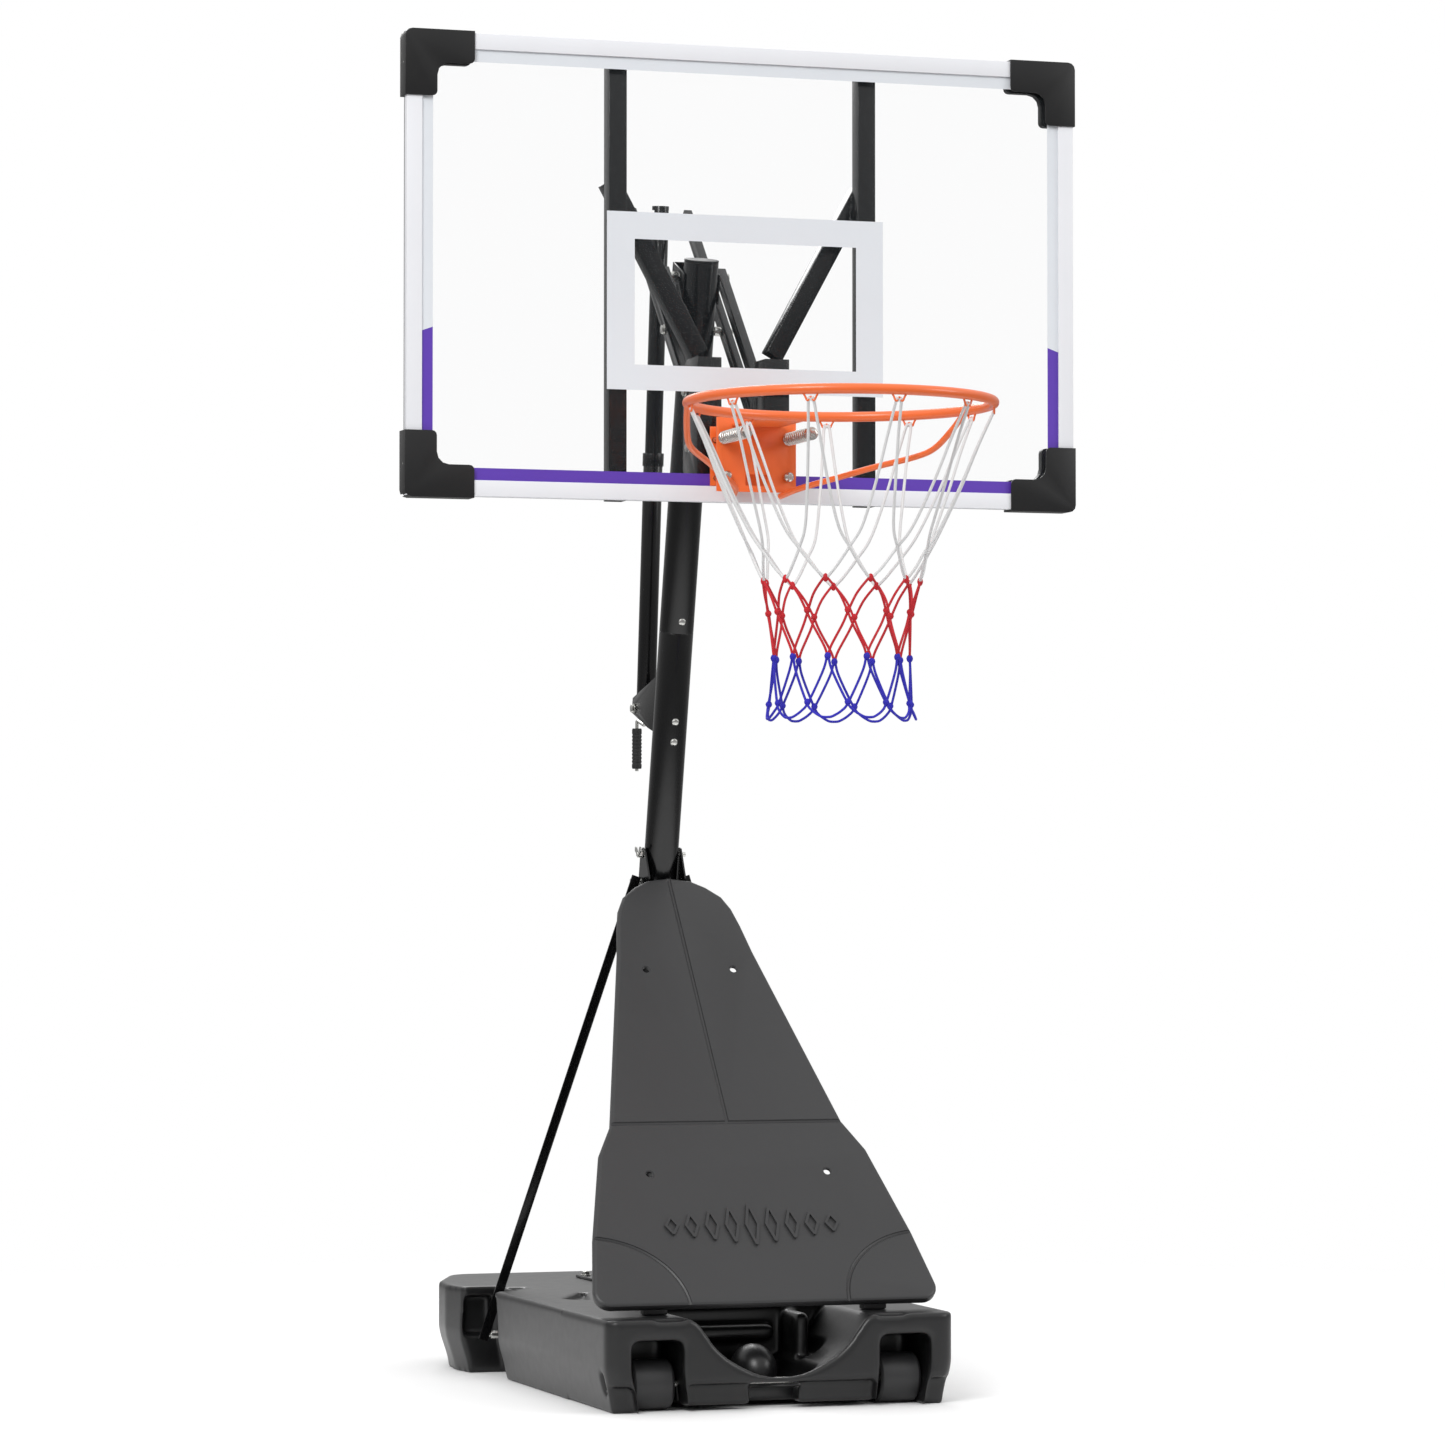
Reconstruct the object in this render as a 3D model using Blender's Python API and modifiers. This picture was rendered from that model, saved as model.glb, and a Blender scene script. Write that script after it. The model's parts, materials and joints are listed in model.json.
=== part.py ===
"""Portable basketball hoop: a filled base on two wheels, a leaning pole with a front cover and two
struts, a crank lift that carries the backboard on four parallel arms, and a sprung rim with a net.

Metres, +Z up. The rim points to -Y, and the origin is on the floor under the middle of the whole.
"""

import math

import bmesh
import bpy
from mathutils import Matrix, Vector

# ---------------------------------------------------------------- driving dimensions
GAP = 0.0003  # left between pieces that touch
FIT = 0.0005  # radial room round a bolt in its hole

# Backboard, seen from the front
BOARD_WIDTH = 1.150
BOARD_HEIGHT = 0.750
BOARD_BOTTOM = 1.449
BOARD_TOP = BOARD_BOTTOM + BOARD_HEIGHT
BOARD_Y = -0.075  # front of the frame
CAP_WALL = 0.0027
CAP_DEPTH = 0.035
CAP_LENGTH = 0.115
CAP_HEIGHT = 0.107
CAP_ARM = 0.053
FRAME_WIDTH = 0.026
FRAME_DEPTH = 0.018
PANEL_THICKNESS = 0.003
PANEL_SETBACK = 0.0043
GROOVE_DEPTH = 0.012

# Tubes behind the board
UPRIGHT_X = 0.214
SQUARE_TUBE = 0.030
TUBE_WALL = 0.0015
UPRIGHT_Y = BOARD_Y + FRAME_DEPTH + GAP
DIAGONAL = ((0.0643, 1.698), (0.2165, 1.975))  # x and z of its two ends
CHANNEL_IN = 0.0375
CHANNEL_OUT = 0.079
CHANNEL_SHEET = 0.0025
CHANNEL_Y = BOARD_Y + FRAME_DEPTH + GAP
CHANNEL_DEPTH = 0.077
CHANNEL_BOTTOM = 1.480
CHANNEL_TOP = 1.690

# Rim, 18 inches inside
RIM_ROD = 0.008
RIM_RADIUS = 0.2286 + RIM_ROD
RIM_Z = 1.574
RIM_Y = BOARD_Y - 0.457
HOOKS = 11
HOOK_TURN = math.radians(10.5)
PLATE_FRONT = BOARD_Y - 0.049
PLATE_SHEET = 0.004
PLATE_WIDTH = 0.135
PLATE_BOTTOM = 1.466
PLATE_TOP = 1.586
SPRING_X = 0.055
SPRING_Z = 1.553
SPRING_LENGTH = 0.1092
SPRING_RADIUS = 0.0095
SPRING_WIRE = 0.0013
SPRING_TURNS = 9
FLEX_X = 0.0526  # the two lower bolts, about which the plate tips
FLEX_Z = 1.491
FLANGE_HALF = 0.0420  # the flange passes between the springs as the rim tips

# Pole
POLE_RADIUS = 0.029
POLE_WALL = 0.0015
POLE_LEAN = math.atan(0.225)
POLE_AT_LOW_PIVOT = Vector((0.0, 0.191, 1.760))
POLE_TOP_Z = 1.873
POLE_JOINTS_Z = (0.800, 1.260)
POLE_INSERT = 0.100

# Lift: parallel arms on the pole, a screw tube behind it
BOLT = 0.004
ARM_LENGTH = 0.2964
ARM_SLOPE = math.radians(46.5)
ARM_X = 0.050
ARM_WIDTH = 0.014
ARM_DEPTH = 0.020
PIVOT_STEP = Vector((0.0, 0.018, 0.093))
CRANK_PIVOT = Vector((0.0, 0.477, 1.135))
OUTER_TUBE = (0.0165, 0.0152)
OUTER_TUBE_TOP = 0.440
INNER_TUBE = (0.0145, 0.0125)
INNER_TUBE_FOOT = 0.380
SCREW_RADIUS = 0.006

# Front cover: a flat moulding that leans back on the pole
COVER_FOOT = Vector((0.0, -0.193, 0.165))
COVER_SLOPE = math.radians(51.34)
COVER_THICKNESS = 0.016
COVER_HOLES = ((0.0767, 0.672), (0.152, 0.254))
COVER_OUTLINE = (  # half width, distance up the slope, corner radius
    (0.294, 0.000, 0.026),
    (0.270, 0.1315, 0.0),
    (0.229, 0.297, 0.030),
    (0.199, 0.355, 0.0),
    (0.119, 0.709, 0.0),
    (0.1087, 0.766, 0.0),
    (0.100, 0.802, 0.0),
    (0.0875, 0.828, 0.0),
    (0.0635, 0.849, 0.0),
    (0.038, 0.8633, 0.0),
)
COVER_CROWN = 0.869

# Base
BASE_REAR = -(RIM_Y - RIM_RADIUS - RIM_ROD)  # as far behind the origin as the rim is in front
BASE_FRONT = -0.258
BASE_HEIGHT = 0.147
BASE_OUTLINE = (  # half width, y, corner radius
    (0.291, BASE_FRONT, 0.024),
    (0.295, 0.372, 0.0),
    (0.323, 0.497, 0.0),
    (0.334, 0.560, 0.030),
    (0.327, 0.630, 0.050),
    (0.267, BASE_REAR, 0.050),
)
NOTCH = (0.372, 0.497)  # from and to, for the struts' feet
WHEEL_X = 0.207
WHEEL_WIDTH = 0.068
WHEEL_RADIUS = 0.040
WHEEL_Y = -0.197
WHEEL_Z = 0.041
AXLE_RADIUS = 0.005
NOTCH_WALL = 0.258
STRUT_TOP_X = 0.0375
STRUT_FOOT = Vector((0.2870, 0.4520, 0.068))
STRUT_LEG = 0.022
STRUT_SHEET = 0.003

SIDES = (("left", -1), ("right", 1))


# ---------------------------------------------------------------- scene and helpers
def clear_scene():
    for obj in list(bpy.data.objects):
        bpy.data.objects.remove(obj, do_unlink=True)


def new_collection(name, hidden=False):
    collection = bpy.data.collections.new(name)
    bpy.context.scene.collection.children.link(collection)
    collection.hide_render = hidden
    return collection


def material(name, colour, roughness, metallic=0.0, alpha=1.0):
    made = bpy.data.materials.new(name)
    made.use_nodes = True
    shader = made.node_tree.nodes["Principled BSDF"]
    shader.inputs["Base Color"].default_value = (*colour, 1.0)
    shader.inputs["Roughness"].default_value = roughness
    shader.inputs["Metallic"].default_value = metallic
    shader.inputs["Alpha"].default_value = alpha
    return made


clear_scene()
PARTS = new_collection("portable_basketball_hoop")
CUTTERS = new_collection("cutters", hidden=True)

BASE_PLASTIC = material("base_plastic", (0.035, 0.035, 0.037), 0.55)
COVER_PLASTIC = material("cover_plastic", (0.070, 0.070, 0.072), 0.50)
TRIM_PLASTIC = material("trim_plastic", (0.030, 0.030, 0.032), 0.45)
BLACK_STEEL = material("black_steel", (0.018, 0.018, 0.019), 0.28, 0.2)
BRIGHT_STEEL = material("bright_steel", (0.62, 0.62, 0.60), 0.25, 1.0)
ALUMINIUM = material("frame_aluminium", (0.86, 0.87, 0.89), 0.35)
CLEAR = material("clear_panel", (0.95, 0.97, 0.98), 0.05, alpha=0.25)
ORANGE = material("orange_rim", (0.88, 0.20, 0.06), 0.35)
NET_CORD = material("net_cord", (0.85, 0.85, 0.86), 0.85)
GRIP = material("grip_rubber", (0.025, 0.025, 0.026), 0.75)


def as_object(name, mesh, finish, place=None):
    """A piece of the hoop, or a cutter if it has no finish."""
    obj = bpy.data.objects.new(name, mesh)
    if finish is None:
        CUTTERS.objects.link(obj)
        obj.hide_render = True
        obj.display_type = "WIRE"
    else:
        PARTS.objects.link(obj)
        mesh.materials.clear()
        mesh.materials.append(finish)
    if place is not None:
        obj.matrix_world = place
    return obj


def along(start, end):
    """A frame at start whose Z points to end and whose X stays as near to world X as it can."""
    z = (Vector(end) - Vector(start)).normalized()
    side = Vector((0.0, 0.0, 1.0)) if abs(z.x) > 0.9 else Vector((1.0, 0.0, 0.0))
    x = (side - z * side.dot(z)).normalized()
    y = z.cross(x)
    return Matrix.Translation(Vector(start)) @ Matrix((x, y, z)).transposed().to_4x4()


def box(name, low, high, finish=None, place=None):
    low, high = Vector(low), Vector(high)
    middle = (low + high) / 2
    size = high - low
    bm = bmesh.new()
    bmesh.ops.create_cube(bm, size=1.0, matrix=Matrix.Translation(middle) @ Matrix.Diagonal((*size, 1.0)))
    mesh = bpy.data.meshes.new(name)
    bm.to_mesh(mesh)
    bm.free()
    return as_object(name, mesh, finish, place)


def bar(name, start, end, width, depth, finish):
    """A square-ended bar from start to end, width along X."""
    length = (Vector(end) - Vector(start)).length
    low = (-width / 2, -depth / 2, 0.0)
    return box(name, low, (width / 2, depth / 2, length), finish, along(start, end))


def turned(name, profile, start, end, finish=None, steps=12, ring=False):
    """A profile of (radius, distance from start) turned round the line to end.

    The profile runs down its outer side. A ring's profile closes on itself.
    """
    mesh = bpy.data.meshes.new(name)
    count = len(profile)
    edges = [(i, i + 1) for i in range(count - 1)]
    if ring:
        edges.append((count - 1, 0))
    mesh.from_pydata([(radius, 0.0, at) for radius, at in profile], edges, [])
    obj = as_object(name, mesh, finish, along(start, end))
    screw = obj.modifiers.new("turn", "SCREW")
    screw.steps = screw.render_steps = steps
    screw.use_merge_vertices = True
    screw.merge_threshold = 1e-5
    return obj


def cylinder(name, start, end, radius, finish=None, steps=12):
    length = (Vector(end) - Vector(start)).length
    profile = ((0.0, length), (radius, length), (radius, 0.0), (0.0, 0.0))
    return turned(name, profile, start, end, finish, steps)


def tube(name, start, end, outer, inner, finish, steps=24):
    length = (Vector(end) - Vector(start)).length
    profile = ((outer, length), (outer, 0.0), (inner, 0.0), (inner, length))
    return turned(name, profile, start, end, finish, steps, ring=True)


def meshed(name, curve, finish, place):
    """The curve as a welded mesh object."""
    source = bpy.data.objects.new(name + "_curve", curve)
    bpy.context.scene.collection.objects.link(source)
    bpy.context.view_layer.update()
    graph = bpy.context.evaluated_depsgraph_get()
    mesh = bpy.data.meshes.new_from_object(source.evaluated_get(graph))
    bpy.data.objects.remove(source, do_unlink=True)
    bm = bmesh.new()
    bm.from_mesh(mesh)
    bmesh.ops.remove_doubles(bm, verts=bm.verts, dist=1e-6)
    bmesh.ops.recalc_face_normals(bm, faces=bm.faces)
    if curve.dimensions == "2D":
        bmesh.ops.dissolve_limit(bm, angle_limit=math.radians(1), verts=bm.verts, edges=bm.edges)
    bm.to_mesh(mesh)
    bm.free()
    return as_object(name, mesh, finish, place)


def plate(name, outline, thickness, finish=None, place=None):
    """A flat outline in the frame's XY plane, from z = 0 to its thickness."""
    curve = bpy.data.curves.new(name, "CURVE")
    curve.dimensions = "2D"
    curve.fill_mode = "BOTH"
    curve.extrude = thickness / 2
    spline = curve.splines.new("POLY")
    spline.points.add(len(outline) - 1)
    for point, (x, y) in zip(spline.points, outline):
        point.co = (x, y, 0.0, 1.0)
    spline.use_cyclic_u = True
    lift = Matrix.Translation((0.0, 0.0, thickness / 2))
    return meshed(name, curve, finish, (place or Matrix()) @ lift)


def square_tube(name, start, end, width, depth, finish):
    """A hollow bar from start to end, open at both ends."""
    made = bar(name, start, end, width, depth, finish)
    length = (Vector(end) - Vector(start)).length
    half = Vector((width / 2 - TUBE_WALL, depth / 2 - TUBE_WALL, 0.0))
    inside = box(name + "_inside", (-half.x, -half.y, -0.02), (half.x, half.y, length + 0.02), None, along(start, end))
    cut(made, inside)
    return made


def rod(name, points, radius, finish=None, smooth=2):
    """A round rod through the points, with 4 + 2 * smooth sides."""
    curve = bpy.data.curves.new(name, "CURVE")
    curve.dimensions = "3D"
    curve.bevel_depth = radius
    curve.bevel_resolution = smooth
    curve.use_fill_caps = True
    spline = curve.splines.new("POLY")
    spline.points.add(len(points) - 1)
    for point, place in zip(spline.points, points):
        point.co = (*place, 1.0)
    made = meshed(name, curve, finish, Matrix())
    for face in made.data.polygons:
        face.use_smooth = True
    return made


def boolean(obj, other, operation):
    step = obj.modifiers.new(other.name, "BOOLEAN")
    step.operation = operation
    step.object = other


def cut(obj, cutter):
    boolean(obj, cutter, "DIFFERENCE")


def join(obj, other):
    boolean(obj, other, "UNION")


def drill(obj, centre, half_length, radius=BOLT + FIT, axis=Vector((1.0, 0.0, 0.0))):
    """A hole through the piece, by default along X."""
    centre = Vector(centre)
    ends = centre - axis * half_length, centre + axis * half_length
    cut(obj, cylinder(obj.name + "_hole", *ends, radius))


def rounded(corners, segments=5):
    """A closed outline of (x, y, radius) corners with each corner turned as an arc."""
    points = []
    for i, (x, y, radius) in enumerate(corners):
        corner = Vector((x, y))
        before = (Vector(corners[i - 1][:2]) - corner).normalized()
        after = (Vector(corners[(i + 1) % len(corners)][:2]) - corner).normalized()
        if radius == 0.0:
            points.append((x, y))
            continue
        half = before.angle(after) / 2
        centre = corner + (before + after).normalized() * (radius / math.sin(half))
        first = corner + before * (radius / math.tan(half)) - centre
        last = corner + after * (radius / math.tan(half)) - centre
        for step in range(segments + 1):
            share = step / segments
            points.append(tuple(centre + first.slerp(last, share).normalized() * radius))
    return points


def mirrored(half):
    """The corners of a right half, run back down on the left."""
    return list(half) + [(-x, y, radius) for x, y, radius in reversed(half)]


def bolt(name, start, end, head=0.0075, nut=0.0065, collars=(), shank=BOLT):
    """A hex bolt: its head ends at start and its nut at end. A collar is (from, to, radius)."""
    length = (Vector(end) - Vector(start)).length
    thick = 0.005
    profile = [(0.0, length), (nut, length), (nut, length - thick), (shank, length - thick)]
    for low, high, radius in sorted(collars, reverse=True):
        profile += [(shank, high), (radius, high), (radius, low), (shank, low)]
    profile += [(shank, thick), (head, thick), (head, 0.0), (0.0, 0.0)]
    return turned(name, profile, start, end, BRIGHT_STEEL, steps=6)


def body_empty(name, place):
    empty = bpy.data.objects.new(name, None)
    empty.location = place
    empty.empty_display_size = 0.03
    PARTS.objects.link(empty)
    return empty


def hang_on(empty, *pieces):
    """Parents the pieces to the empty, without moving them."""
    bpy.context.view_layer.update()
    for piece in pieces:
        place = piece.matrix_world.copy()
        piece.parent = empty
        piece.matrix_parent_inverse = empty.matrix_world.inverted()
        piece.matrix_world = place


# ---------------------------------------------------------------- points on the pole and the lift
POLE_AXIS = Vector((0.0, -math.sin(POLE_LEAN), math.cos(POLE_LEAN)))
POLE_NORMAL = Vector((0.0, math.cos(POLE_LEAN), math.sin(POLE_LEAN)))  # away from the board


def on_pole(z, off=0.0):
    """The point of the pole's axis at height z, moved off it along its rear normal."""
    low = POLE_AT_LOW_PIVOT
    return low + POLE_AXIS * ((z - low.z) / POLE_AXIS.z) + POLE_NORMAL * off


def pole_frame(z):
    """Local X across, Y behind the pole, Z up its axis, centred at height z."""
    turn = Matrix((Vector((1.0, 0.0, 0.0)), POLE_NORMAL, POLE_AXIS)).transposed().to_4x4()
    return Matrix.Translation(on_pole(z)) @ turn


LOW_PIVOT = on_pole(POLE_AT_LOW_PIVOT.z)
HIGH_PIVOT = LOW_PIVOT + PIVOT_STEP
ARM = Vector((0.0, -math.cos(ARM_SLOPE), -math.sin(ARM_SLOPE))) * ARM_LENGTH
LOW_JOINT = LOW_PIVOT + ARM
HIGH_JOINT = HIGH_PIVOT + ARM
LIFT_TOP = LOW_PIVOT - ARM
CRANK_AXIS = (LIFT_TOP - CRANK_PIVOT).normalized()
CRANK_REACH = (LIFT_TOP - CRANK_PIVOT).length


def on_crank(distance):
    return CRANK_PIVOT + CRANK_AXIS * distance


SIDEWAYS = Matrix.Rotation(math.radians(90), 4, "Y") @ Matrix.Rotation(math.radians(90), 4, "Z")
# A plate placed by SIDEWAYS has its outline in (y, z) and its thickness along +X.


# ---------------------------------------------------------------- base
def base_tank():
    outline = rounded(mirrored(BASE_OUTLINE))
    tank = plate("base_tank", outline, BASE_HEIGHT, BASE_PLASTIC)
    soften = tank.modifiers.new("edges", "BEVEL")
    soften.width = 0.012
    soften.segments = 2
    soften.limit_method = "ANGLE"
    soften.angle_limit = math.radians(60)

    slope = ((0.036, 0.051), (0.080, 0.074), (0.112, 0.098), (0.140, 0.138), (0.146, 0.160))
    valley = [(-x, z) for x, z in reversed(slope)] + list(slope)
    facing = Matrix.Translation((0.0, -0.030, 0.0)) @ Matrix.Rotation(math.radians(90), 4, "X")
    cut(tank, plate("valley", valley, 0.300, None, facing))
    cut(tank, box("sump", (-0.045, -0.240, 0.034), (0.045, -0.060, 0.100)))
    cut(tank, box("lip_recess", (-0.400, -0.300, -0.010), (0.400, BASE_FRONT + 0.008, 0.044)))
    cut(tank, box("lip_middle", (-0.055, -0.300, -0.010), (0.055, BASE_FRONT + 0.030, 0.040)))
    slot = AXLE_RADIUS + FIT
    cut(tank, box("axle_slot", (-0.268, WHEEL_Y - slot, -0.010), (0.268, WHEEL_Y + slot, WHEEL_Z + slot)))
    for side, sign in SIDES:
        x = sorted((sign * 0.165, sign * 0.250))
        cut(tank, box("wheel_well_" + side, (x[0], -0.300, -0.010), (x[1], -0.135, 0.114)))
        x = sorted((sign * NOTCH_WALL, sign * 0.400))
        cut(tank, box("notch_" + side, (x[0], NOTCH[0], -0.010), (x[1], NOTCH[1], 0.162)))
        hole = Vector((sign * NOTCH_WALL, STRUT_FOOT.y, STRUT_FOOT.z))
        drill(tank, hole, 0.012)
    return tank


def wheel(side, sign):
    half = WHEEL_WIDTH / 2
    bore = AXLE_RADIUS + GAP
    profile = (
        (0.035, half),
        (WHEEL_RADIUS, half - 0.005),
        (WHEEL_RADIUS, -half + 0.005),
        (0.035, -half),
        (bore, -half),
        (bore, half),
    )
    centre = Vector((sign * WHEEL_X, WHEEL_Y, WHEEL_Z))
    made = turned("wheel_" + side, profile, centre, centre + Vector((1.0, 0.0, 0.0)), TRIM_PLASTIC, 28, ring=True)
    hang_on(body_empty("wheel_axis_" + side, centre), made)


def fill_cap():
    centre = Vector((0.170, 0.680, BASE_HEIGHT + GAP))
    profile = ((0.0, 0.014), (0.026, 0.014), (0.031, 0.009), (0.031, 0.0), (0.0, 0.0))
    cap = turned("fill_cap", profile, centre, centre + Vector((0.0, 0.0, 1.0)), TRIM_PLASTIC, 16)
    hang_on(body_empty("cap_axis", centre), cap)


def base():
    base_tank()
    ends = Vector((-0.262, WHEEL_Y, WHEEL_Z)), Vector((0.262, WHEEL_Y, WHEEL_Z))
    cylinder("axle_rod", *ends, AXLE_RADIUS, BRIGHT_STEEL)
    for side, sign in SIDES:
        wheel(side, sign)
    fill_cap()


# ---------------------------------------------------------------- front cover
def cover_frame(depth):
    """Local X across, Y up the slope, Z out of the front; depth is below the front face."""
    up = Vector((0.0, math.cos(COVER_SLOPE), math.sin(COVER_SLOPE)))
    out = Vector((0.0, -math.sin(COVER_SLOPE), math.cos(COVER_SLOPE)))
    turn = Matrix((Vector((1.0, 0.0, 0.0)), up, out)).transposed().to_4x4()
    return Matrix.Translation(COVER_FOOT - out * depth) @ turn


def front_cover():
    half = list(COVER_OUTLINE)
    outline = rounded(half + [(0.0, COVER_CROWN, 0.0)] + [(-x, y, r) for x, y, r in reversed(half)], 4)
    place = cover_frame(COVER_THICKNESS)
    cover = plate("front_cover", outline, COVER_THICKNESS, COVER_PLASTIC, place)
    for x, up in COVER_HOLES:
        for sign in (-1, 1):
            centre = place @ Vector((sign * x, up, COVER_THICKNESS / 2))
            drill(cover, centre, 0.020, 0.0045, place.to_3x3() @ Vector((0.0, 0.0, 1.0)))
    for side, sign in SIDES:
        x = sorted((sign * 0.165, sign * 0.205))
        low = (x[0], -0.172, BASE_HEIGHT + GAP)
        join(cover, box("cover_foot_" + side, low, (x[1], -0.150, 0.190)))
    return cover


# ---------------------------------------------------------------- pole
def pole_section(name, start_z, end_z, insert):
    """A tube with, where it has one, a narrower end that goes up into the next section."""
    start, end = on_pole(start_z), on_pole(end_z)
    length = (end - start).length
    inner = POLE_RADIUS - POLE_WALL
    if not insert:
        return tube(name, start, end, POLE_RADIUS, inner, BLACK_STEEL)
    neck = inner - GAP
    bore = neck - POLE_WALL
    profile = (
        (neck, length + insert),
        (neck, length),
        (POLE_RADIUS, length),
        (POLE_RADIUS, 0.0),
        (inner, 0.0),
        (inner, length - 0.010),
        (bore, length - 0.010),
        (bore, length + insert),
    )
    return turned(name, profile, start, end, BLACK_STEEL, 24, ring=True)


def pole_foot():
    """A flange on the base with a sleeve that holds the pole's lower end."""
    low = on_pole(BASE_HEIGHT)
    flange = box(
        "pole_foot",
        (-0.080, low.y - 0.075, BASE_HEIGHT + GAP),
        (0.080, low.y + 0.075, BASE_HEIGHT + 0.005),
        BLACK_STEEL,
    )
    sleeve = tube(
        "foot_sleeve", on_pole(BASE_HEIGHT + 0.004), on_pole(0.212), POLE_RADIUS + 0.005, POLE_RADIUS + GAP, None
    )
    trim = box("foot_trim", (-0.1, low.y - 0.1, 0.112), (0.1, low.y + 0.1, BASE_HEIGHT + 0.001))
    cut(sleeve, trim)
    join(flange, sleeve)


def pole():
    foot_z = BASE_HEIGHT + 0.005 + POLE_RADIUS * math.sin(POLE_LEAN) + 0.001
    first, second = POLE_JOINTS_Z
    pole_section("pole_lower", foot_z, first, POLE_INSERT)
    pole_section("pole_middle", first + GAP, second, POLE_INSERT)
    upper = pole_section("pole_upper", second + GAP, POLE_TOP_Z, 0.0)
    drill(upper, LOW_PIVOT, 0.060)
    top = on_pole(POLE_TOP_Z)
    profile = (
        (0.0, 0.004),
        (POLE_RADIUS, 0.004),
        (POLE_RADIUS + 0.0005, GAP),
        (POLE_RADIUS - POLE_WALL - GAP, GAP),
        (POLE_RADIUS - POLE_WALL - GAP, -0.012),
        (0.0, -0.012),
    )
    turned("pole_cap", profile, top, top + POLE_AXIS, TRIM_PLASTIC, 24)
    pole_foot()


def top_bracket():
    """Two ears beside the pole's top, joined behind it, that hold the upper arms' bolt."""
    place = pole_frame(HIGH_PIVOT.z) @ SIDEWAYS
    half = POLE_RADIUS + 0.0035
    rear = (HIGH_PIVOT - on_pole(HIGH_PIVOT.z)).dot(POLE_NORMAL) + 0.018
    outline = ((-0.008, -0.050), (rear, -0.030), (rear, 0.014), (-0.008, 0.000))
    bracket = plate("pole_top_bracket", outline, 2 * half, BLACK_STEEL, Matrix.Translation((-half, 0, 0)) @ place)
    inside = half - 0.003
    gap = box("top_bracket_gap", (-inside, -0.050, -0.080), (inside, rear - 0.003, 0.080), None, pole_frame(HIGH_PIVOT.z))
    cut(bracket, gap)
    drill(bracket, HIGH_PIVOT, 0.060)


def cover_clevis():
    """A channel round the front of the pole, whose ears take the struts' bolt."""
    z = 0.838
    half = POLE_RADIUS + 0.0045
    front = -(POLE_RADIUS + 0.0035)
    outline = ((front, -0.028), (0.014, -0.028), (0.014, 0.050), (0.004, 0.058), (-0.010, 0.058), (front, -0.010))
    place = Matrix.Translation((-half, 0, 0)) @ pole_frame(z) @ SIDEWAYS
    clevis = plate("cover_clevis", outline, 2 * half, BLACK_STEEL, place)
    inside = half - 0.003
    room = box("clevis_room", (-inside, front + 0.003, -0.120), (inside, 0.050, 0.080), None, pole_frame(z))
    cut(clevis, room)
    centre = on_pole(z)
    drill(clevis, centre, 0.060)
    drill(bpy.data.objects["pole_middle"], centre, 0.060)
    drill(bpy.data.objects["pole_lower"], centre, 0.060)
    return centre


def struts(top):
    """Two angle bars from the clevis bolt down to the notches in the base."""
    head, tail = Vector((0.054, top.y, top.z)), Vector((-0.068, top.y, top.z))
    wing_bolt = bolt("clevis_bolt", head, tail, 0.0070, 0.0070)
    half_wing = ((0.012, -0.005), (0.020, 0.010), (0.016, 0.012), (0.006, -0.002))
    wings = list(half_wing) + [(-y, z) for y, z in reversed(half_wing)]
    place = Matrix.Translation(tail + Vector((0.0015, 0.0, 0.0))) @ SIDEWAYS
    join(wing_bolt, plate("wings", wings, 0.002, None, place))
    for side, sign in SIDES:
        upper = Vector((sign * STRUT_TOP_X, top.y, top.z))
        lower = Vector((sign * STRUT_FOOT.x, STRUT_FOOT.y, STRUT_FOOT.z))
        way = (lower - upper).normalized()
        start, end = upper - way * 0.012, lower + way * 0.012
        half = STRUT_LEG / 2
        angle = (
            (0.0, -half),
            (sign * STRUT_SHEET, -half),
            (sign * STRUT_SHEET, half - STRUT_SHEET),
            (sign * STRUT_LEG, half - STRUT_SHEET),
            (sign * STRUT_LEG, half),
            (0.0, half),
        )
        strut = plate("strut_" + side, angle, (end - start).length, BLACK_STEEL, along(start, end))
        drill(strut, upper, 0.020)
        drill(strut, lower, 0.020)
        outer = lower + Vector((sign * 0.012, 0.0, 0.0))
        inner = Vector((sign * (NOTCH_WALL - 0.008), lower.y, lower.z))
        reach = abs(outer.x - inner.x)
        spacer = (abs(outer.x) - abs(lower.x) + 0.003, reach - 0.008 - GAP, 0.007)
        strut_bolt(side, outer, inner, spacer)


def strut_bolt(side, outer, inner, spacer):
    length = (inner - outer).length
    low, high, radius = spacer
    profile = [
        (0.0, length),
        (BOLT, length),
        (BOLT, high),
        (radius, high),
        (radius, low),
        (BOLT, low),
        (BOLT, 0.005),
        (0.0068, 0.005),
        (0.0068, 0.0),
        (0.0, 0.0),
    ]
    turned("strut_bolt_" + side, profile, outer, inner, BRIGHT_STEEL, 6)


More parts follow.
